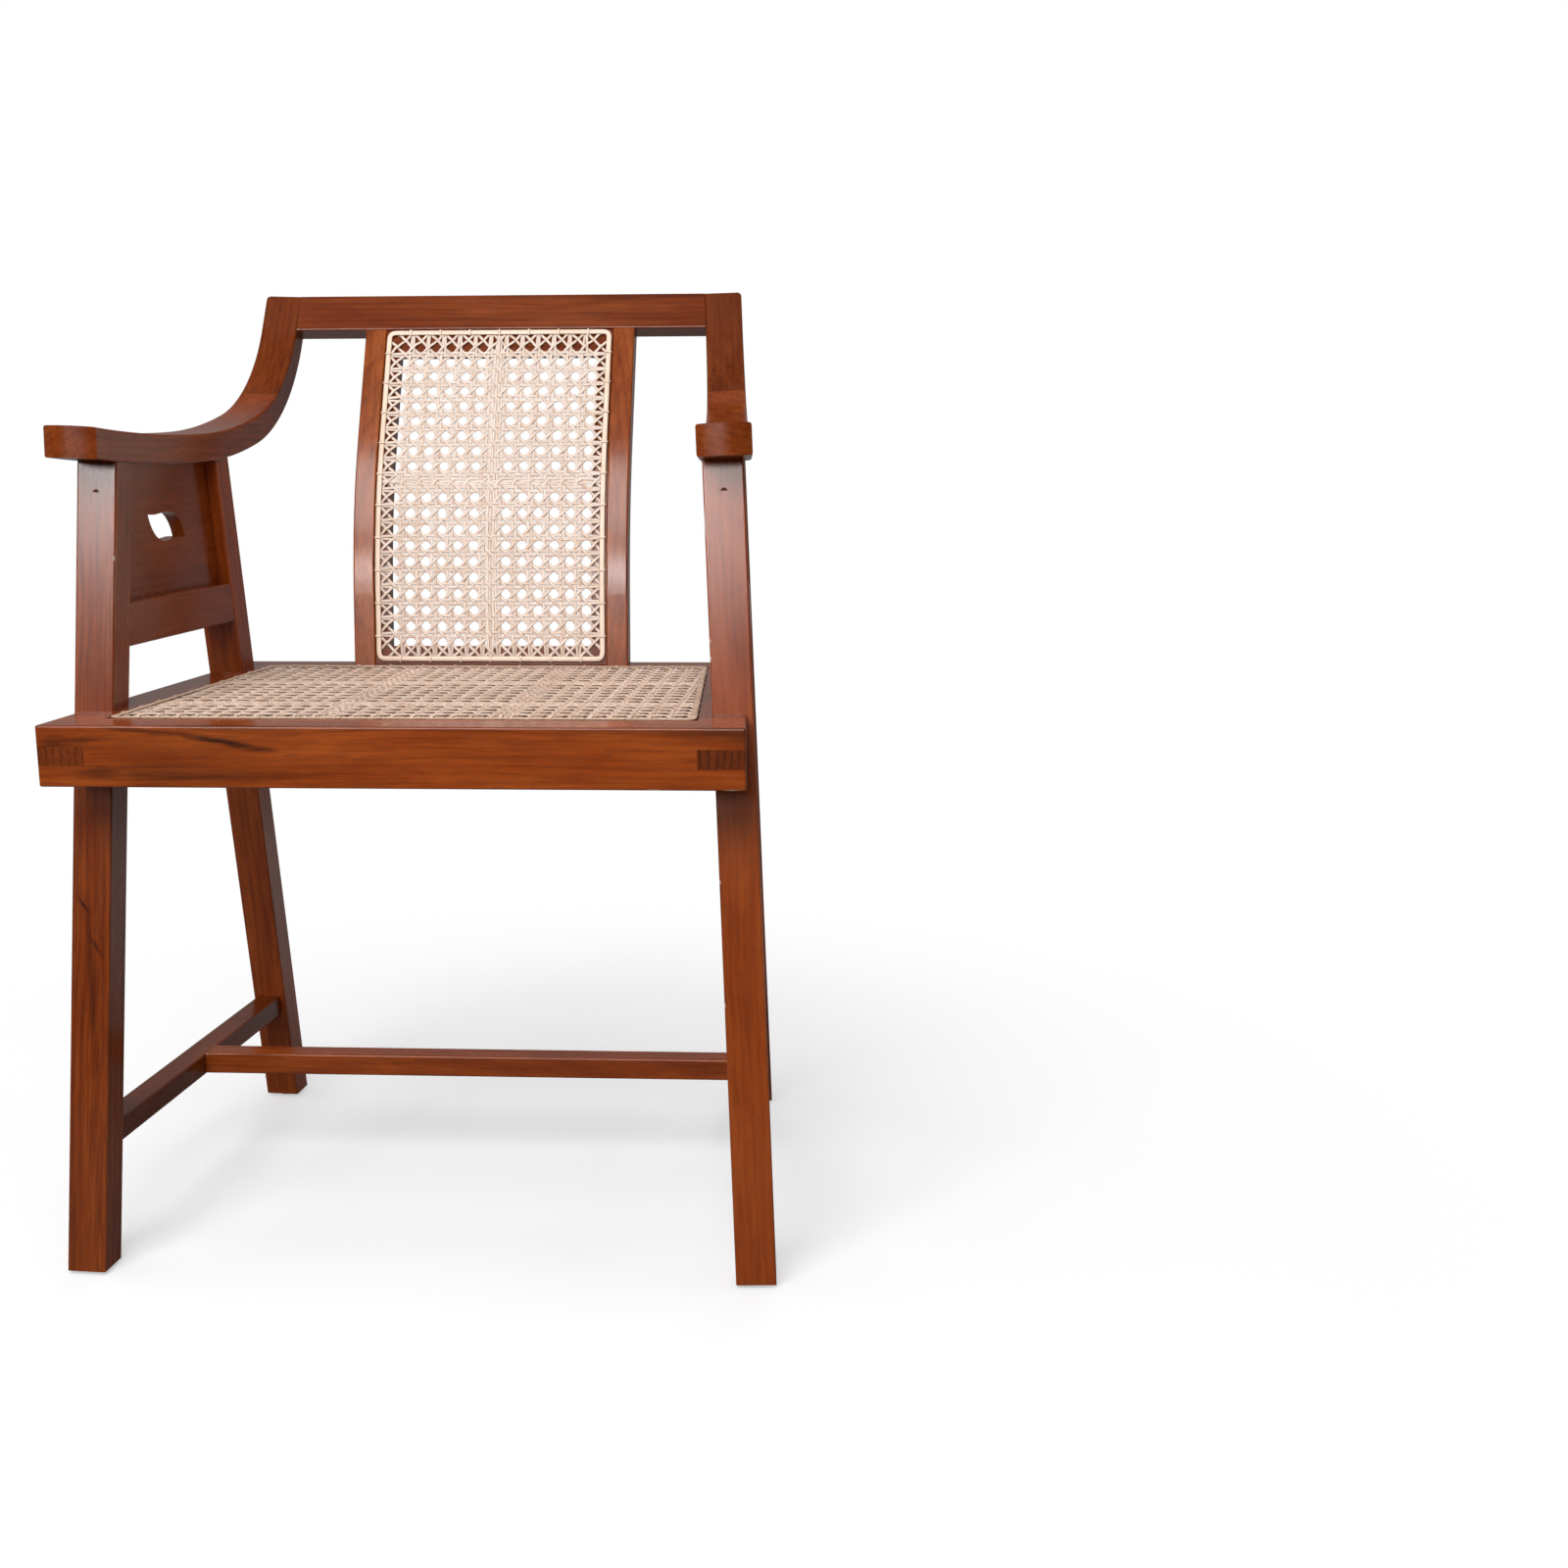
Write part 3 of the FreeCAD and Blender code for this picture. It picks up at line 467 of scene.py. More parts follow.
@dataclass(frozen=True)
class CaneFinish:
    """Split rattan: pale skin with long fibres, strand by strand a little different; each strand is darkened
    underneath, partly for its duller pith side and partly as painted shade, and along its edges as painted shade
    between strands.
    """

    name: str
    pale: Colour
    middle: Colour
    tan: Colour
    # Dark brown for the pith side and for painted shade under and between strands.
    pith_and_shade: Colour = (0.40, 0.27, 0.17, 1.0)

    def material(self) -> bpy.types.Material:
        """Make the finish; it reads the strands' own attributes.

        Returns:
            The new material.
        """
        mat, draw = fresh_material(self.name)
        along, around, tint = (draw.add("ShaderNodeAttribute", attribute_name=name).outputs["Fac"]
                               for name in ("along", "around", "tint"))
        strand = draw.first("ShaderNodeCombineXYZ", {0: along, 1: around, 2: draw.math("MULTIPLY", tint, 31.0)})
        fibres = draw.noise(draw.scaled(strand, (55.0, 26.0, 1.0)), 1.0, 3.0, 0.6)
        patches = draw.noise(draw.scaled(strand, (22.0, 1.5, 1.0)), 1.0, 2.0)
        joints = draw.noise(draw.scaled(strand, (16.0, 0.4, 1.0)), 1.0, 0.0)
        angle = draw.math("MULTIPLY", around, 2.0 * math.pi)
        edge = draw.math("ABSOLUTE", draw.math("COSINE", angle))
        colour = draw.mix(draw.ramp(tint, ((0.1, 0.0), (0.9, 1.0))), self.pale, self.middle)
        colour = draw.mix(draw.ramp(patches, ((0.46, 0.0), (0.74, 0.75))), colour, self.tan)
        for share, stops, strength, over in (
            (fibres, ((0.4, 0.0), (0.7, 1.0)), 0.32, self.tan),
            (joints, ((0.69, 0.0), (0.74, 1.0)), 0.6, self.tan),
            # Underside: partly the duller pith side, partly painted shade.
            (draw.math("SINE", angle), ((0.15, 0.0), (0.6, 1.0)), 0.7, self.pith_and_shade),
            # Edges: painted shade between neighbouring strands.
            (edge, ((0.7, 0.0), (1.0, 1.0)), 0.55, self.pith_and_shade),
        ):
            colour = draw.wash(colour, draw.ramp(share, stops), strength, over)
        gloss = draw.spread(fibres, 0.34, 0.56)
        draw.skin(colour, gloss, fibres, (0.25, 0.0002), {"Specular IOR Level": 0.42})
        return mat


@dataclass(frozen=True)
class GlideFinish:
    """Dull pressed steel with scuffs from the floor."""

    name: str = "glide_steel"
    clean: Colour = (0.46, 0.45, 0.43, 1.0)
    scuffed: Colour = (0.20, 0.18, 0.16, 1.0)

    def material(self) -> bpy.types.Material:
        """Make the finish.

        Returns:
            The new material.
        """
        mat, draw = fresh_material(self.name)
        place = draw.add("ShaderNodeTexCoord").outputs["Object"]
        scuffs = draw.noise(draw.scaled(place, (900.0, 260.0, 500.0)), 1.0, 4.0, 0.65)
        colour = draw.mix(draw.ramp(scuffs, ((0.4, 0.0), (0.7, 1.0))), self.clean, self.scuffed)
        draw.skin(colour, draw.spread(scuffs, 0.28, 0.62), scuffs, (0.2, 0.0002), {"Metallic": 1.0})
        return mat


@dataclass(frozen=True)
class Strand:
    """The section of a strand, the faces round it and the seed of its tints."""

    width: float
    thickness: float
    facets: int = 6
    seed: int = 5


class CaneTree:
    """A Geometry Nodes tree that makes split cane with a flat oval section."""

    def __init__(self, name: str, start: str, inputs: dict[str, str]) -> None:
        """Start the tree with its named inputs.

        Args:
            name: The tree's name.
            start: What the geometry that it starts from is called.
            inputs: The kinds of its further inputs, by name.
        """
        self.tree = bpy.data.node_groups.new(name, "GeometryNodeTree")
        face = self.tree.interface
        face.new_socket(start, in_out="INPUT", socket_type="NodeSocketGeometry")
        kinds = {"Strand Width": "Float", "Strand Thickness": "Float", "Facets": "Int", "Tint Seed": "Int",
                 "Material": "Material", **inputs}
        self.sockets = {label: face.new_socket(label, in_out="INPUT", socket_type=f"NodeSocket{kind}")
                        for label, kind in kinds.items()}
        face.new_socket("Cane", in_out="OUTPUT", socket_type="NodeSocketGeometry")
        self.sketch = NodeSketch(self.tree)
        self.given = self.sketch.add("NodeGroupInput").outputs

    def stored(self, geometry: Socket, name: str, value: Socket, domain: str = "POINT") -> Socket:
        """Note a number on a geometry, for the finish to read.

        Args:
            geometry: What it is noted on.
            name: The attribute's name.
            value: The number.
            domain: What each number belongs to.

        Returns:
            The geometry with its attribute.
        """
        inputs = {"Geometry": geometry, "Name": name, "Value": value}
        return self.sketch.first("GeometryNodeStoreNamedAttribute", inputs, data_type="FLOAT", domain=domain)

    def tinted(self, geometry: Socket, domain: str) -> Socket:
        """Give each strand or loop its own tint.

        Args:
            geometry: The strands or loops.
            domain: What each tint belongs to.

        Returns:
            The geometry with its tints.
        """
        chance = self.sketch.add("FunctionNodeRandomValue", {"Seed": self.given["Tint Seed"]}, data_type="FLOAT")
        return self.stored(geometry, "tint", next(socket for socket in chance.outputs if socket.enabled), domain)

    def strand(self, curve: Socket) -> Socket:
        """Run the oval section along a curve.

        Args:
            curve: The curve.

        Returns:
            The mesh.
        """
        sketch = self.sketch
        measured = self.stored(curve, "along", sketch.add("GeometryNodeSplineParameter").outputs["Length"])
        level = sketch.first("GeometryNodeSetCurveNormal", {"Curve": measured}, mode="Z_UP")
        circle = {"Resolution": self.given["Facets"], "Radius": 0.5}
        ring = sketch.first("GeometryNodeCurvePrimitiveCircle", circle, mode="RADIUS")
        ring = self.stored(ring, "around", sketch.add("GeometryNodeSplineParameter").outputs["Factor"])
        sizes = {0: self.given["Strand Width"], 1: self.given["Strand Thickness"], 2: 1.0}
        section = sketch.first("ShaderNodeCombineXYZ", sizes)
        oval = sketch.first("GeometryNodeTransform", {"Geometry": ring, "Scale": section})
        sweep = {"Curve": level, "Profile Curve": oval, "Fill Caps": True}
        return sketch.first("GeometryNodeSetShadeSmooth", {0: sketch.first("GeometryNodeCurveToMesh", sweep)})

    def hand_over(self, geometry: Socket) -> None:
        """Make the result one plain mesh with the cane's finish.

        Args:
            geometry: The strands or loops.
        """
        whole = self.sketch.first("GeometryNodeRealizeInstances", {0: geometry})
        inputs = {"Geometry": whole, "Material": self.given["Material"]}
        self.sketch.add("NodeGroupOutput", {0: self.sketch.first("GeometryNodeSetMaterial", inputs)})

    def run(self, name: str, start: bpy.types.Mesh, strand: Strand, material: bpy.types.Material,
            **more: float) -> bpy.types.Object:
        """Run the tree once and keep its result as a plain mesh.

        Args:
            name: The name of the piece.
            start: The mesh the tree works on.
            strand: The section of its strands.
            material: The cane's finish.
            more: Values of the tree's further inputs.

        Returns:
            The piece, still flat, with no modifier left on it.
        """
        inputs = {"Strand Width": strand.width, "Strand Thickness": strand.thickness, "Facets": strand.facets,
                  "Tint Seed": strand.seed, "Material": material, **more}
        piece = bpy.data.objects.new(name, start)
        bpy.context.scene.collection.objects.link(piece)
        modifier = piece.modifiers.new("build", "NODES")
        modifier.node_group = self.tree
        for label, value in inputs.items():
            modifier[self.sockets[label].identifier] = value
        bpy.context.view_layer.update()
        shown = piece.evaluated_get(bpy.context.evaluated_depsgraph_get())
        mesh = bpy.data.meshes.new_from_object(shown)
        mesh.name = name
        piece.modifiers.clear()
        piece.data = mesh
        bpy.data.meshes.remove(start)
        return piece


class StrandTree(CaneTree):
    """Strands along guide lines."""

    def __init__(self) -> None:
        """Lay out the nodes from guide lines to finished strands."""
        super().__init__("cane_strands", "Guides", {})
        curves = self.sketch.first("GeometryNodeMeshToCurve", {0: self.given["Guides"]})
        self.hand_over(self.strand(self.tinted(curves, "CURVE")))

    def weave(self, name: str, lines: Sequence[Line], strand: Strand, material: bpy.types.Material,
              closed: bool = False) -> bpy.types.Object:
        """Turn guide lines into one plain mesh of strands.

        Args:
            name: The name of the piece.
            lines: Guide lines on the flat field.
            strand: The section of its strands.
            material: The cane's finish.
            closed: Whether each line is a ring.

        Returns:
            The piece, still flat.
        """
        return self.run(name, guide_mesh(name + "_guides", lines, closed), strand, material)


class LashingTree(CaneTree):
    """A small loop of cane over the binding at every marked hole."""

    ARCH_POINTS = 9

    def __init__(self) -> None:
        """Lay out the nodes: one arch, set on every hole and turned across the binding."""
        super().__init__("cane_lashings", "Holes", {"Span": "Float", "Rise": "Float"})
        sketch = self.sketch
        bow = {"Resolution": self.ARCH_POINTS, "Radius": 1.0, "Start Angle": 0.0, "Sweep Angle": math.pi}
        arc = sketch.first("GeometryNodeCurveArc", bow, mode="RADIUS")
        stood = sketch.first("GeometryNodeTransform", {"Geometry": arc, "Rotation": (math.pi / 2, 0.0, 0.0)})
        half = sketch.math("MULTIPLY", self.given["Span"], 0.5)
        size = sketch.first("ShaderNodeCombineXYZ", {0: half, 1: 1.0, 2: self.given["Rise"]})
        arch = sketch.first("GeometryNodeTransform", {"Geometry": stood, "Scale": size})
        heading = sketch.first("GeometryNodeInputNamedAttribute", {"Name": "heading"}, data_type="FLOAT")
        euler = sketch.first("ShaderNodeCombineXYZ", {2: heading})
        turn = sketch.first("FunctionNodeEulerToRotation", {0: euler})
        placing = {"Points": self.given["Holes"], "Instance": self.strand(arch), "Rotation": turn}
        loops = sketch.first("GeometryNodeInstanceOnPoints", placing)
        self.hand_over(self.tinted(loops, "INSTANCE"))

    def lash(self, name: str, places: np.ndarray, headings: np.ndarray, arch: tuple[float, float], strand: Strand,
             material: bpy.types.Material) -> bpy.types.Object:
        """Set the loops.

        Args:
            name: The name of the piece.
            places: Where each loop stands on the flat field.
            headings: The angle of each loop, across the binding.
            arch: How wide a loop reaches and how high it stands.
            strand: The section of its strand.
            material: The cane's finish.

        Returns:
            The piece, still flat.
        """
        mesh = bpy.data.meshes.new(name + "_holes")
        mesh.from_pydata([tuple(place) for place in places], [], [])
        mesh.attributes.new("heading", "FLOAT", "POINT").data.foreach_set("value", headings.astype(np.float32))
        return self.run(name, mesh, strand, material, Span=arch[0], Rise=arch[1])


def guide_mesh(name: str, lines: Sequence[Line], closed: bool) -> bpy.types.Mesh:
    """Put guide lines into one mesh of bare edges.

    Args:
        name: The mesh's name.
        lines: Lines of points.
        closed: Whether each line is a ring.

    Returns:
        The mesh.
    """
    points: list[Triple] = []
    edges: list[tuple[int, int]] = []
    for line in lines:
        first = len(points)
        points.extend(tuple(map(float, point)) for point in line)
        edges.extend((index, index + 1) for index in range(first, len(points) - 1))
        if closed:
            edges.append((len(points) - 1, first))
    mesh = bpy.data.meshes.new(name)
    mesh.from_pydata(points, edges, [])
    return mesh


def lay(piece: bpy.types.Object, mapper: Mapper) -> None:
    """Lay a flat piece onto its place on the chair.

    Args:
        piece: The piece, in flat coordinates.
        mapper: Takes flat points (across, up the field, above it) to the chair.
    """
    points = np.empty(len(piece.data.vertices) * 3, dtype=np.float32)
    piece.data.vertices.foreach_get("co", points)
    placed = mapper(points.reshape(-1, 3).astype(float))
    piece.data.vertices.foreach_set("co", placed.astype(np.float32).ravel())
    piece.data.update()


@dataclass
class Field:
    """The flat outline that is caned: its row of holes, the pitch of the weave and what is woven shut."""

    corners: Sequence[tuple[float, float]]
    pitch: tuple[float, float]
    origin: tuple[float, float]
    pair_columns: tuple[int, int]
    pair_rows: tuple[int, int]
    closed_columns: Sequence[int]
    closed_rows: Sequence[int]

    def clip(self, start: np.ndarray, end: np.ndarray) -> tuple[np.ndarray, np.ndarray] | None:
        """Cut a straight line at the row of holes.

        Args:
            start: One end of the line.
            end: Its other end.

        Returns:
            The two ends inside the outline, or None if it misses.
        """
        low, high = 0.0, 1.0
        run = end - start
        count = len(self.corners)
        for index in range(count):
            corner = np.array(self.corners[index])
            side = np.array(self.corners[(index + 1) % count]) - corner
            inward = np.array((-side[1], side[0]))
            gap = float(inward @ (start - corner))
            slope = float(inward @ run)
            if abs(slope) < 1e-12:
                if gap < 0.0:
                    return None
                continue
            cut = -gap / slope
            if slope > 0.0:
                low = max(low, cut)
            else:
                high = min(high, cut)
        if high <= low:
            return None
        return start + run * low, start + run * high

    def rounded(self, radius: float, steps: int = 5) -> np.ndarray:
        """The row of holes as a ring with rounded corners.

        Args:
            radius: How far the rounding starts from a corner.
            steps: Points on each corner.

        Returns:
            The ring's points.
        """
        points = []
        count = len(self.corners)
        for index in range(count):
            corner = np.array(self.corners[index])
            before = np.array(self.corners[index - 1]) - corner
            after = np.array(self.corners[(index + 1) % count]) - corner
            first = corner + before / np.linalg.norm(before) * radius
            last = corner + after / np.linalg.norm(after) * radius
            for t in np.linspace(0.0, 1.0, steps):
                points.append(first * (1 - t) ** 2 + corner * 2 * t * (1 - t) + last * t ** 2)
        return np.array(points)


@dataclass
class Weave:
    """Six-way cane weave: pairs both ways, and diagonals that lock them.

    Reaches beyond the field and the shortest runs that are woven count in pitches.
    """

    name: str
    field_: Field
    finish: CaneFinish
    cane: Strand
    samples: int = 6
    pair_gap: float = 0.0017
    pair_rise: float = 0.0005
    diagonal_rise: float = 0.00095
    end_drop: float = 0.0012
    shut_gap: float = 0.0028
    wander: float = 0.00032
    bend_stops: tuple[float, float] = (0.0015, 0.004)
    end_clear: float = 0.005
    drop_reach: float = 0.006
    aside_reach: float = 0.008
    straight_reach: float = 99.0
    shortest_straight: float = 2.5
    slants: int = 80
    slant_reach: float = 60.0
    shortest_slant: float = 0.9
    rng: np.random.Generator = field(init=False)

    def __post_init__(self) -> None:
        """Seed the small unevenness of the hand work."""
        self.rng = np.random.default_rng(self.cane.seed)

    def point(self, across: float, up: float) -> np.ndarray:
        """A point of the weave's own count of pitches, on the flat field."""
        spot = self.field_
        return np.array((spot.origin[0] + across * spot.pitch[0], spot.origin[1] + up * spot.pitch[1]))

    def ease(self, distance: np.ndarray, reach: float) -> np.ndarray:
        """A smooth step from 0 at an end of a strand to 1 at some reach from it."""
        share = np.clip(distance / reach, 0.0, 1.0)
        return share * share * (3.0 - 2.0 * share)

    def strand(self, start: np.ndarray, end: np.ndarray, marks: np.ndarray, heights: np.ndarray,
               sidestep: float) -> Line:
        """One strand from hole to hole.

        Args:
            start: The hole it comes out of.
            end: The hole it goes into.
            marks: Distances along it at which its height is known.
            heights: Its height there.
            sidestep: How far it lies beside the line from hole to hole.

        Returns:
            Its guide line.
        """
        run = end - start
        length = float(np.linalg.norm(run))
        along = run / length
        beside = np.array((-along[1], along[0]))
        first, second = self.bend_stops
        near_ends = (0.0, first, second, length - second, length - first, length)
        inner = marks[(marks > self.end_clear) & (marks < length - self.end_clear)]
        stops = np.unique(np.concatenate((inner, near_ends)))
        height = np.interp(stops, marks, heights)
        to_end = np.minimum(stops, length - stops)
        height = -self.end_drop + (height + self.end_drop) * self.ease(to_end, self.drop_reach)
        drift = self.rng.normal(0.0, self.wander) + self.rng.normal(0.0, self.wander * 0.5, len(stops))
        aside = (sidestep + drift) * self.ease(to_end, self.aside_reach)
        flat = start + np.outer(stops, along) + np.outer(aside, beside)
        return np.column_stack((flat, height))

    def setting(self) -> list[Line]:
        """The strands that run straight across and straight up, with the extra ones of the shut rows.

        Returns:
            Their guide lines.
        """
        lines = []
        spot = self.field_
        shut = ((-self.shut_gap, 0), (0.0, 1), (self.shut_gap, 0))
        pair = ((-self.pair_gap, 0), (self.pair_gap, 1))
        columns = [(k + 0.5, pair) for k in range(*spot.pair_columns)] + [(k, shut) for k in spot.closed_columns]
        rows = [(k + 0.5, pair) for k in range(*spot.pair_rows)] + [(k, shut) for k in spot.closed_rows]
        reaches = (-self.straight_reach, self.straight_reach)
        for axis, sign, places, crossings in ((1, 1.0, columns, rows), (0, -1.0, rows, columns)):
            crossed = [(self.point(crossing, crossing)[axis] + shift, rank)
                       for crossing, other in sorted(crossings, key=lambda item: item[0]) for shift, rank in other]
            middles = np.array([middle for middle, _ in crossed])
            for place, group in places:
                ends = [self.point(place, far) if axis else self.point(far, place) for far in reaches]
                cut = spot.clip(*ends)
                if cut is None or np.linalg.norm(cut[1] - cut[0]) < self.shortest_straight * spot.pitch[axis]:
                    continue
                for sidestep, order in group:
                    heights = [sign * self.pair_rise * (-1.0) ** (rank + order) for _, rank in crossed]
                    lines.append(self.strand(cut[0], cut[1], middles - cut[0][axis], np.array(heights),
                                             -sign * sidestep))
        return lines

    def diagonals(self) -> list[Line]:
        """The strands that run slantwise, over the pairs one way and under them the other way.

        Returns:
            Their guide lines.
        """
        lines = []
        spot = self.field_
        for slope in (1.0, -1.0):
            for k in range(-self.slants, self.slants):
                start = self.point(-self.slant_reach, k + 0.5 - self.slant_reach * slope)
                end = self.point(self.slant_reach, k + 0.5 + self.slant_reach * slope)
                cut = spot.clip(start, end)
                if cut is None or np.linalg.norm(cut[1] - cut[0]) < self.shortest_slant * spot.pitch[0]:
                    continue
                length = float(np.linalg.norm(cut[1] - cut[0]))
                count = max(6, int(length / math.hypot(*spot.pitch) * self.samples))
                marks = np.linspace(0.0, length, count)
                across = np.interp(marks, (0.0, length), (cut[0][0], cut[1][0]))
                across = (across - spot.origin[0]) / spot.pitch[0]
                heights = -slope * self.diagonal_rise * np.cos(2.0 * math.pi * across)
                lines.append(self.strand(cut[0], cut[1], marks, heights, 0.0))
        return lines

    def build(self, tree: StrandTree, mapper: Mapper) -> list[bpy.types.Object]:
        """Make the weave and lay it on the chair.

        Args:
            tree: The tree that gives strands their section.
            mapper: Takes flat points to the chair.

        Returns:
            The straight strands and the diagonals, as two pieces.
        """
        material = self.finish.material()
        made = []
        for part, lines in (("setting", self.setting()), ("diagonals", self.diagonals())):
            piece = tree.weave(f"{self.name}_{part}", lines, self.cane, material)
            lay(piece, mapper)
            made.append(piece)
        return made


@dataclass
class Binding:
    """The wider cane that covers the row of holes, and the loops that tie it down."""

    name: str
    field_: Field
    finish: CaneFinish
    strip: Strand = Strand(0.0050, 0.0013, 8, 3)
    height: float = 0.0007
    corner: float = 0.006
    step: float = 0.012
    loop: Strand = Strand(0.0022, 0.0007)
    loop_pitch: float = 0.0302
    loop_arch: tuple[float, float] = (0.0058, 0.0011)

    def build(self, strands: StrandTree, lashings: LashingTree, mapper: Mapper) -> list[bpy.types.Object]:
        """Make the strip and its loops.

        Args:
            strands: The tree that gives the strip its section.
            lashings: The tree that sets the loops.
            mapper: Takes flat points to the chair.

        Returns:
            The strip and the loops, as two pieces.
        """
        material = self.finish.material()
        ring = self.field_.rounded(self.corner)
        dense = []
        places = []
        headings = []
        for index, here in enumerate(ring):
            run = ring[(index + 1) % len(ring)] - here
            length = float(np.linalg.norm(run))
            steps = max(1, round(length / self.step))
            dense.extend(here + run * step / steps for step in range(steps))
            if length > self.loop_pitch:
                count = round(length / self.loop_pitch)
                places.extend(here + run * (step + 0.5) / count for step in range(count))
                headings.extend([math.atan2(run[1], run[0]) + math.pi / 2] * count)
        line, feet = (np.hstack((np.array(spots), np.full((len(spots), 1), self.height))) for spots in (dense, places))
        strip = strands.weave(self.name + "_strip", [line], self.strip, material, closed=True)
        loops = lashings.lash(self.name + "_loops", feet, np.array(headings), self.loop_arch, self.loop, material)
        for piece in (strip, loops):
            lay(piece, mapper)
        return [strip, loops]


class CanedPanel:
    """What the seat's and the back's cane share."""

    def mapper(self, flat: np.ndarray) -> np.ndarray:
        """Lay flat points on the panel; each panel has its own way."""
        raise NotImplementedError

    def cane(self, part: str, weave: Weave, edge: CaneFinish, strands: StrandTree, lashings: LashingTree) -> None:
        """Weave the panel and bind its edge.

        Args:
            part: Which part of the chair it is.
            weave: Its weave.
            edge: The finish of its binding.
            strands: The tree for strands.
            lashings: The tree for the loops.
        """
        dress_pieces(weave.build(strands, self.mapper), f"{part}_cane")
        binding = Binding(f"{part}_binding", weave.field_, edge)
        dress_pieces(binding.build(strands, lashings, self.mapper), f"{part}_cane_binding")


@dataclass
class CanedSeat(CanedPanel):
    """The drop-in seat's cane."""

    seat_top: float = 0.451
    middle_y: float = 0.24612
    bed: float = 0.0003
    front_line: float = 0.0398
    rear_line: float = 0.3522
    front_half: float = 0.2245
    pitch: float = 0.0153
    toe: float = math.tan(math.radians(3.94))
    rows: int = 20

    def outline(self) -> Field:
        """The seat's row of holes and its weave.

        Returns:
            The field to be caned.
        """
        rear_half = self.front_half - (self.rear_line - self.front_line) * self.toe
        corners = ((-self.front_half, self.front_line), (self.front_half, self.front_line),
                   (rear_half, self.rear_line), (-rear_half, self.rear_line))
        pitch = (self.pitch, (self.rear_line - self.front_line) / self.rows)
        return Field(corners, pitch, (0.0, self.front_line), (-14, 14), (1, self.rows - 1), (-4, 5), (5, 13))

    def mapper(self, flat: np.ndarray) -> np.ndarray:
        """Lay flat points on the seat."""
        return np.column_stack((flat[:, 0], flat[:, 1] - self.middle_y, self.seat_top - self.bed + flat[:, 2]))

    def build(self, strands: StrandTree, lashings: LashingTree) -> None:
        """Weave the seat and bind its edge.

        Args:
            strands: The tree for strands.
            lashings: The tree for the loops.
        """
        finish = CaneFinish("seat_rattan", (0.97, 0.78, 0.67, 1.0), (0.82, 0.60, 0.48, 1.0), (0.43, 0.24, 0.16, 1.0))
        edge = CaneFinish("seat_edge_rattan", (0.72, 0.52, 0.40, 1.0), (0.64, 0.45, 0.33, 1.0), (0.46, 0.28, 0.18, 1.0))
        weave = Weave("seat_cane", self.outline(), finish, Strand(0.0027, 0.00072, 6, 11), pair_rise=0.00048,
                      diagonal_rise=0.0005)
        self.cane("seat", weave, edge, strands, lashings)


@dataclass
class CanedBack(CanedPanel):
    """The back panel's cane, on a face that bends once from the seat to the crest rail."""

    foot_y: float = 0.11988
    foot_z: float = 0.451
    lower_lean: float = math.radians(5.7585)
    upper_lean: float = math.radians(24.4534)
    lower_run: float = 0.06571
    bend_radius: float = 0.45563
    first_line: float = 0.0058
    last_line: float = 0.32394
    half: float = 0.1057
    bed: float = 0.0003
    bar_back: float = 0.0140
    stitch: Strand = Strand(0.0026, 0.0008, 6, 31)
    columns: int = 14
    rows: int = 21

    def outline(self) -> Field:
        """The back's row of holes and its weave.

        Returns:
            The field to be caned.
        """
        corners = ((-self.half, self.first_line), (self.half, self.first_line),
                   (self.half, self.last_line), (-self.half, self.last_line))
        pitch = (2.0 * self.half / self.columns, (self.last_line - self.first_line) / self.rows)
        return Field(corners, pitch, (0.0, self.first_line), (-6, 6), (1, self.rows - 1), (0,), (self.rows - 10,))

    def mapper(self, flat: np.ndarray) -> np.ndarray:
        """Bend flat points onto the back's front face.

        Args:
            flat: Points across, up the field and above it.

        Returns:
            The points on the chair.
        """
        turn = np.clip((flat[:, 1] - self.lower_run) / self.bend_radius, 0.0, self.upper_lean - self.lower_lean)
        lean = self.lower_lean + turn
        low = np.minimum(flat[:, 1], self.lower_run)
        high = np.maximum(flat[:, 1] - self.lower_run - turn * self.bend_radius, 0.0) * (turn > 0.0)
        swing = self.bend_radius * (math.cos(self.lower_lean) - np.cos(lean))
        climb = self.bend_radius * (np.sin(lean) - math.sin(self.lower_lean))
        y = self.foot_y + low * math.sin(self.lower_lean) + swing + high * math.sin(self.upper_lean)
        z = self.foot_z + low * math.cos(self.lower_lean) + climb + high * math.cos(self.upper_lean)
        proud = flat[:, 2] - self.bed
        return np.column_stack((flat[:, 0], y - np.cos(lean) * proud, z + np.sin(lean) * proud))

    def stitches(self) -> list[Line]:
        """The short runs of cane from hole to hole behind the bars.

        Returns:
            Their guide lines.
        """
        corners = [np.array(corner) for corner in self.outline().corners]
        counts = (self.columns, self.rows, self.columns, self.rows)
        lines = []
        for index, count in enumerate(counts):
            start = corners[index]
            run = corners[(index + 1) % 4] - start
            holes = [start + run * (2 * step + 1) / (2 * count) for step in range(count)]
            for first, second in zip(holes, holes[1:]):
                between = [first + (second - first) * share for share in (0.0, 0.12, 0.35, 0.65, 0.88, 1.0)]
                sunk = np.array((0.0016, 0.0005, 0.0, 0.0, 0.0005, 0.0016)) - self.bar_back
                lines.append(np.column_stack((np.array(between), sunk)))
        return lines

    def build(self, strands: StrandTree, lashings: LashingTree) -> None:
        """Weave the back, bind its edge and run the cane on behind the bars.

        Args:
            strands: The tree for strands.
            lashings: The tree for the loops.
        """
        finish = CaneFinish("back_rattan", (0.81, 0.69, 0.61, 1.0), (0.76, 0.62, 0.53, 1.0), (0.64, 0.45, 0.33, 1.0))
        edge = CaneFinish("back_edge_rattan", (0.90, 0.73, 0.60, 1.0), (0.85, 0.67, 0.53, 1.0), (0.72, 0.52, 0.38, 1.0))
        weave = Weave("back_cane", self.outline(), finish, Strand(0.0026, 0.0009, 8, 23), samples=8)
        self.cane("back", weave, edge, strands, lashings)
        behind = strands.weave("back_stitches", self.stitches(), self.stitch, finish.material())
        lay(behind, self.mapper)
        dress_pieces([behind], "back_cane")


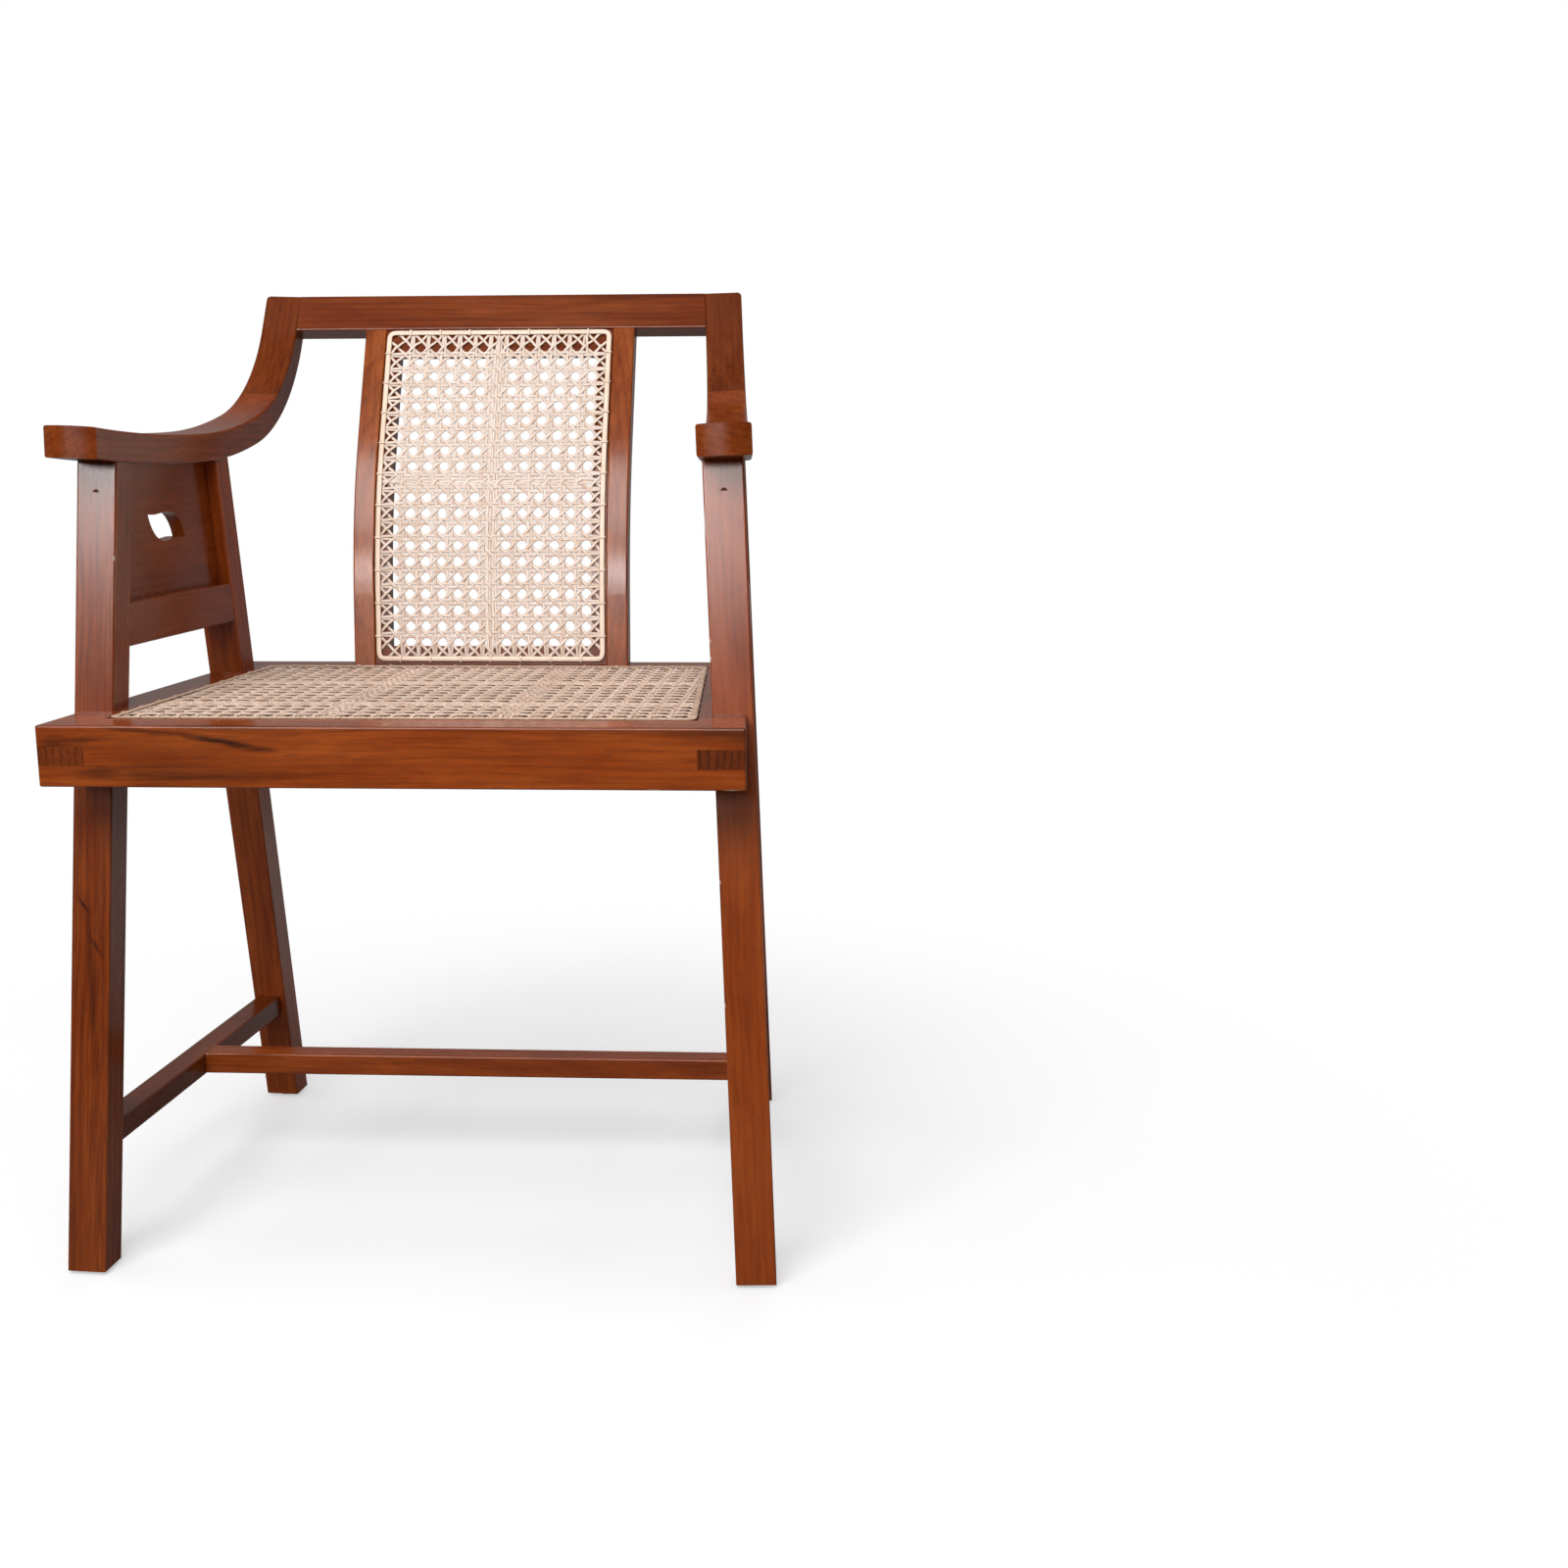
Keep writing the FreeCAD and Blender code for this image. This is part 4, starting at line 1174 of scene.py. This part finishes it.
def dress_pieces(made: Sequence[bpy.types.Object], node: str) -> None:
    """Hide the solid that new pieces stand for, hang them on the root and log their triangles.

    Args:
        made: The new pieces.
        node: The solid they stand for.
    """
    for piece in made:
        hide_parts(node)
        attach(piece, "root")
        triangles = sum(len(face.vertices) - 2 for face in piece.data.polygons)
        LOG.info("%s: %d triangles", piece.name, triangles)


@dataclass
class Woodwork:
    """All the wooden solids: the seat frame, the side frames, the back and the bars behind the cane."""

    stance: SideFrame = field(default_factory=SideFrame)
    finish: WoodFinish = field(default_factory=WoodFinish)

    def seat_boards(self) -> list[Board]:
        """The seat rails and the drop-in seat's bars.

        Returns:
            Their boards.
        """
        cross = Vector((1.0, 0.0, 0.0))
        boards = [
            Board("front_seat_rail", cross, 4, Tone.GOLD, 0.6, (
                Mark((-0.1650, -0.246, 0.4280), 0.170, 0.0450, 0.0, 0.24),
                Mark((-0.1220, -0.246, 0.4388), 0.046, 0.0034, -0.18),
                Mark((-0.1800, -0.246, 0.4466), 0.045, 0.0028, -0.08, 0.6),
                Mark((-0.2540, -0.246, 0.4330), 0.020, 0.0130, 0.25, 0.65),
                Mark((-0.2200, -0.246, 0.4155), 0.020, 0.0060, 0.10, 0.50),
                Mark((-0.2330, -0.246, 0.4395), 0.018, 0.0035, 0.12, 0.50),
                Mark((0.1983, -0.246, 0.4040), 0.0060, 0.0012, wear_and_highlight=True),
                Mark((0.2560, -0.246, 0.4040), 0.0075, 0.0012, wear_and_highlight=True),
            ), figure=0.85),
            Board("rear_seat_rail", cross, 21, Tone.DARK),
            Board("seat_frame_front_bar", cross, 22, Tone.DEEP),
            Board("seat_frame_rear_bar", cross, 23, Tone.DEEP),
        ]
        for seed, side in enumerate(Side, 34):
            along = self.stance.direction(side, 1.0, 0.0)
            end_shade = 0.36 if side is Side.LEFT else 0.5
            boards.append(Board(f"{side.name.lower()}_seat_rail", along, None, Tone.BROWN, end_shade=end_shade))
            boards.append(Board(f"{side.name.lower()}_seat_frame_bar", along, seed, Tone.DEEP))
        return boards

    def leg_marks(self, side: Side) -> tuple[Mark, ...]:
        """The dark figure in a front leg and the pale spots of wear on its edges; the left one has a small knot with
        its streaks, and a painted highlight along its rounded arris.

        Args:
            side: Which of the two.

        Returns:
            The leg's marks.
        """
        if side is Side.RIGHT:
            return (Mark((0.262, -0.204, 0.215), 0.050, 0.0028, 0.06, 0.2),
                    Mark((0.2306, -0.1602, 0.5955), 0.0120, 0.0010, wear_and_highlight=True),
                    Mark((0.2342, -0.1705, 0.5066), 0.0025, 0.0012, wear_and_highlight=True),
                    Mark((0.2347, -0.1720, 0.4935), 0.0025, 0.0012, wear_and_highlight=True),
                    Mark((0.2418, -0.1918, 0.3213), 0.0025, 0.0012, wear_and_highlight=True),
                    Mark((0.2457, -0.2028, 0.2250), 0.0030, 0.0012, wear_and_highlight=True))
        return (Mark((-0.2632, -0.193, 0.2970), 0.012, 0.0022, 0.65),
                Mark((-0.2527, -0.197, 0.2630), 0.013, 0.0026, 0.60),
                Mark((-0.2590, -0.199, 0.2430), 0.060, 0.0036, 0.05, 0.6),
                Mark((-0.2316, -0.1632, 0.5697), 0.0022, 0.0012, wear_and_highlight=True),
                # A long thin pale line down the rounded arris: a painted highlight.
                Mark((-0.2316, -0.1632, 0.5600), 0.0600, 0.0008, 0.0, 0.5, wear_and_highlight=True))

    def front_leg(self, side: Side, grain: Vector, seed: int) -> Board:
        """A front leg; the right one is plainer and a little lighter.

        Args:
            side: Which of the two.
            grain: Which way it leans.
            seed: Where in the trunk it was cut.

        Returns:
            The board.
        """
        if side is Side.LEFT:
            return Board("left_front_leg", grain, seed, Tone.BROWN, 0.5, self.leg_marks(side), figure=1.3)
        return Board("right_front_leg", grain, seed, Tone.WARM, 0.1, self.leg_marks(side), figure=0.55)

    def side_boards(self, side: Side, seed: int) -> list[Board]:
        """Legs, arm, post, panel and stretchers of one side frame.

        Args:
            side: Which side frame.
            seed: The first seed for its boards.

        Returns:
            Its boards.
        """
        name = side.name.lower()
        along = self.stance.direction(side, 1.0, 0.0)
        front = self.stance.direction(side, self.stance.front_leg_slope, 1.0)
        rear = self.stance.direction(side, self.stance.rear_leg_slope, 1.0)
        post = self.stance.direction(side, math.sin(self.stance.post_lean), math.cos(self.stance.post_lean))
        return [
            self.front_leg(side, front, seed),
            # Both rear legs are toned lighter partly for their wood and partly as painted light against the shade under
            # the seat.
            Board(f"{name}_rear_leg", rear, seed + 1, Tone.WARM),
            Board(f"{name}_arm", along, seed + 2, Tone.BROWN, end_shade=0.08),
            # The back posts are toned darker partly for their wood and partly as painted shade on their upward-leaning
            # faces.
            Board(f"{name}_back_post", post, seed + 3, Tone.DEEP),
            Board(f"{name}_arm_panel", along, seed + 4, Tone.DARK, 0.2, figure=0.5),
            Board(f"{name}_panel_rail", along, seed + 5, Tone.DARK, 0.2, figure=0.5),
            Board(f"{name}_side_stretcher", along, seed + 6, Tone.DEEP),
        ]

    def back_boards(self) -> list[Board]:
        """The crest rail, the stiles, the caned panel's bars, the cross stretcher and the pegs.

        Returns:
            Their boards.
        """
        cross = Vector((1.0, 0.0, 0.0))
        rising = Vector((0.0, math.sin(math.radians(15.0)), math.cos(math.radians(15.0))))
        return [
            # The crest rail is toned darker partly for its wood and partly as painted shade on its upward-leaning face.
            Board("crest_rail", cross, 61, Tone.DARK),
            Board("left_back_stile", rising, 62, Tone.HONEY, 0.15),
            Board("right_back_stile", rising, 63, Tone.HONEY, 0.15),
            Board("back_panel_top_bar", cross, 64, Tone.DARK),
            Board("back_panel_bottom_bar", cross, 65, Tone.DARK),
            Board("back_panel_left_bar", rising, 66, Tone.DARK),
            Board("back_panel_right_bar", rising, 67, Tone.DARK),
            Board("cross_stretcher", cross, 68, Tone.WARM),
            Board("leg_pegs", Vector((0.0, 1.0, 0.0)), 69, Tone.DARK),
        ]

    def build(self) -> None:
        """Give every wooden solid its own finish."""
        boards = self.seat_boards() + self.back_boards()
        for seed, side in ((40, Side.LEFT), (50, Side.RIGHT)):
            boards += self.side_boards(side, seed)
        for board in boards:
            paint(board.node, self.finish.material(board))


def paint(node: str, material: bpy.types.Material) -> None:
    """Put a finish on every slot of a solid.

    Args:
        node: The solid's name.
        material: Its finish.
    """
    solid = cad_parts[node]
    if not solid.material_slots:
        solid.data.materials.append(material)
    for slot in solid.material_slots:
        slot.material = material
    LOG.info("%s: %s", node, material.name)


@dataclass
class Fittings:
    """The glides under the legs and the plugs that wedge the cane in its holes."""

    glide: GlideFinish = field(default_factory=GlideFinish)

    def build(self) -> None:
        """Give the small solids their finishes."""
        paint("foot_glides", self.glide.material())
        wedge = WoodFinish(name="pale_wedges", ring=(0.30, 0.19, 0.10, 1.0), base=(0.52, 0.37, 0.23, 1.0),
                           warm=(0.58, 0.43, 0.28, 1.0), vein=(0.22, 0.13, 0.07, 1.0))
        paint("seat_cane_plugs", wedge.material(Board("seat_cane_plugs", Vector((0.0, 0.0, 1.0)), 71)))
        paint("back_cane_plugs", wedge.material(Board("back_cane_plugs", Vector((0.0, 1.0, 0.0)), 72)))


class LampUse(Enum):
    """What a lamp is there for: the surfaces, their sheen, or both."""

    BOTH = "both"
    SHEEN = "sheen"
    FILL = "fill"


@dataclass
class Studio:
    """Camera, lamps, floor and backdrop."""

    eye: Triple = (0.3652, -1.55252, 0.6629)
    lens: float = 41.565
    yaw: float = 0.0538
    pitch: float = 0.1911
    roll: float = -0.0043
    ambient: float = 0.06
    backdrop_gloss: float = 0.20
    floor_radius: float = 1.35
    floor_corners: int = 72
    aim: Triple = (0.0, 0.0, 0.45)

    def camera(self) -> None:
        """Set up the camera where the picture was taken from."""
        data = bpy.data.cameras.new("camera")
        data.lens = self.lens
        data.sensor_width = 36.0
        data.clip_start = 0.01
        camera = bpy.data.objects.new("camera", data)
        turn = Matrix.Rotation(self.yaw, 4, "Z") @ Matrix.Rotation(math.pi / 2 - self.pitch, 4, "X")
        turn = turn @ Matrix.Rotation(self.roll, 4, "Z")
        camera.matrix_world = Matrix.Translation(self.eye) @ turn
        bpy.context.scene.collection.objects.link(camera)
        bpy.context.scene.camera = camera

    def lamp(self, name: str, place: Triple, size: tuple[float, float], level: float,
             use: LampUse = LampUse.BOTH) -> None:
        """Hang one soft box that faces the chair.

        Args:
            name: The lamp's name.
            place: Where it hangs.
            size: Its width and height.
            level: How bright its face is, where 1 is white.
            use: What it lights.
        """
        data = bpy.data.lights.new(name, "AREA")
        data.shape = "RECTANGLE"
        data.size, data.size_y = size
        data.energy = level * math.pi * size[0] * size[1]
        lamp = bpy.data.objects.new(name, data)
        lamp.location = place
        lamp.rotation_euler = (Vector(self.aim) - Vector(place)).to_track_quat("-Z", "Y").to_euler()
        lamp.visible_diffuse = use is not LampUse.SHEEN
        lamp.visible_glossy = use is not LampUse.FILL
        bpy.context.scene.collection.objects.link(lamp)

    def seen_white(self, draw: NodeSketch, depth: Socket) -> Socket:
        """How white the backdrop is to a ray: to the camera, through clear things and, behind the chair, in a gloss.

        Args:
            draw: The tree to draw in.
            depth: How far towards the back the ray or the point lies.

        Returns:
            The socket with the share of white.
        """
        path = draw.add("ShaderNodeLightPath").outputs
        behind = draw.spread(depth, 0.0, self.backdrop_gloss, 0.1, 0.6, "SMOOTHSTEP")
        clear = draw.math("MAXIMUM", path["Is Camera Ray"], path["Is Transmission Ray"])
        return draw.math("MAXIMUM", clear, draw.math("MULTIPLY", path["Is Glossy Ray"], behind))

    def world(self) -> None:
        """White to look at and, behind the chair, to mirror; a softer even light on the chair."""
        world = bpy.data.worlds.new("studio")
        world.use_nodes = True
        draw = NodeSketch(world.node_tree)
        soft = draw.first("ShaderNodeBackground", {"Color": (1.0, 0.98, 0.96, 1.0), "Strength": self.ambient})
        white = draw.first("ShaderNodeBackground", {"Color": (1.0, 1.0, 1.0, 1.0), "Strength": 1.0})
        heading = draw.add("ShaderNodeSeparateXYZ", {0: draw.add("ShaderNodeTexCoord").outputs["Generated"]})
        seen = self.seen_white(draw, heading.outputs["Y"])
        draw.add("ShaderNodeOutputWorld", {"Surface": draw.first("ShaderNodeMixShader", {0: seen, 1: soft, 2: white})})
        bpy.context.scene.world = world

    def floor(self) -> None:
        """A plain pale floor that fades into the backdrop."""
        turns = [2 * math.pi * k / self.floor_corners for k in range(self.floor_corners)]
        rim = [(self.floor_radius * math.cos(turn), self.floor_radius * math.sin(turn), 0.0) for turn in turns]
        mesh = bpy.data.meshes.new("floor")
        mesh.from_pydata(rim, [], [tuple(range(self.floor_corners))])
        mat, draw = fresh_material("pale_floor")
        place = draw.add("ShaderNodeTexCoord").outputs["Object"]
        fade = draw.spread(draw.vector_math("LENGTH", place), 0.45, 1.0, 0.30, 1.0, "SMOOTHSTEP")
        seen = self.seen_white(draw, draw.add("ShaderNodeSeparateXYZ", {0: place}).outputs["Y"])
        share = draw.math("MULTIPLY", fade, seen)
        pale = draw.mix(seen, (0.18, 0.18, 0.18, 1.0), (0.94, 0.94, 0.94, 1.0))
        matt = draw.first("ShaderNodeBsdfDiffuse", {"Color": pale})
        white = draw.first("ShaderNodeEmission", {"Color": (1.0, 1.0, 1.0, 1.0), "Strength": 1.0})
        both = draw.first("ShaderNodeMixShader", {0: share, 1: matt, 2: white})
        draw.add("ShaderNodeOutputMaterial", {"Surface": both})
        mesh.materials.append(mat)
        floor = bpy.data.objects.new("floor", mesh)
        bpy.context.scene.collection.objects.link(floor)

    def build(self) -> None:
        """Set up the whole studio."""
        self.camera()
        self.world()
        self.floor()
        self.lamp("key_box", (-0.4, -1.95, 1.95), (1.8, 1.0), 9.0)
        self.lamp("wall", (-0.6, -3.0, 1.32), (3.4, 0.54), 4.4)
        self.lamp("window", (-0.75, -2.95, 1.23), (2.4, 0.44), 18.0, LampUse.SHEEN)
        self.lamp("top_box", (0.0, -0.35, 2.9), (2.2, 2.2), 2.0, LampUse.FILL)
        self.lamp("right_box", (2.5, 0.1, 1.0), (2.0, 2.0), 0.95, LampUse.FILL)
        self.lamp("left_box", (-2.6, 0.3, 1.2), (2.0, 2.0), 1.5, LampUse.FILL)
        self.lamp("rear_box", (0.3, 2.8, 1.7), (2.4, 1.6), 3.0, LampUse.FILL)
        bpy.context.scene.view_settings.view_transform = "Standard"


def main() -> None:
    """Build the studio and the chair's pieces in order."""
    logging.basicConfig(level=logging.INFO, format="%(message)s")
    Studio().build()
    Woodwork().build()
    Fittings().build()
    strands = StrandTree()
    lashings = LashingTree()
    CanedSeat().build(strands, lashings)
    CanedBack().build(strands, lashings)


if __name__ == "__main__":
    main()
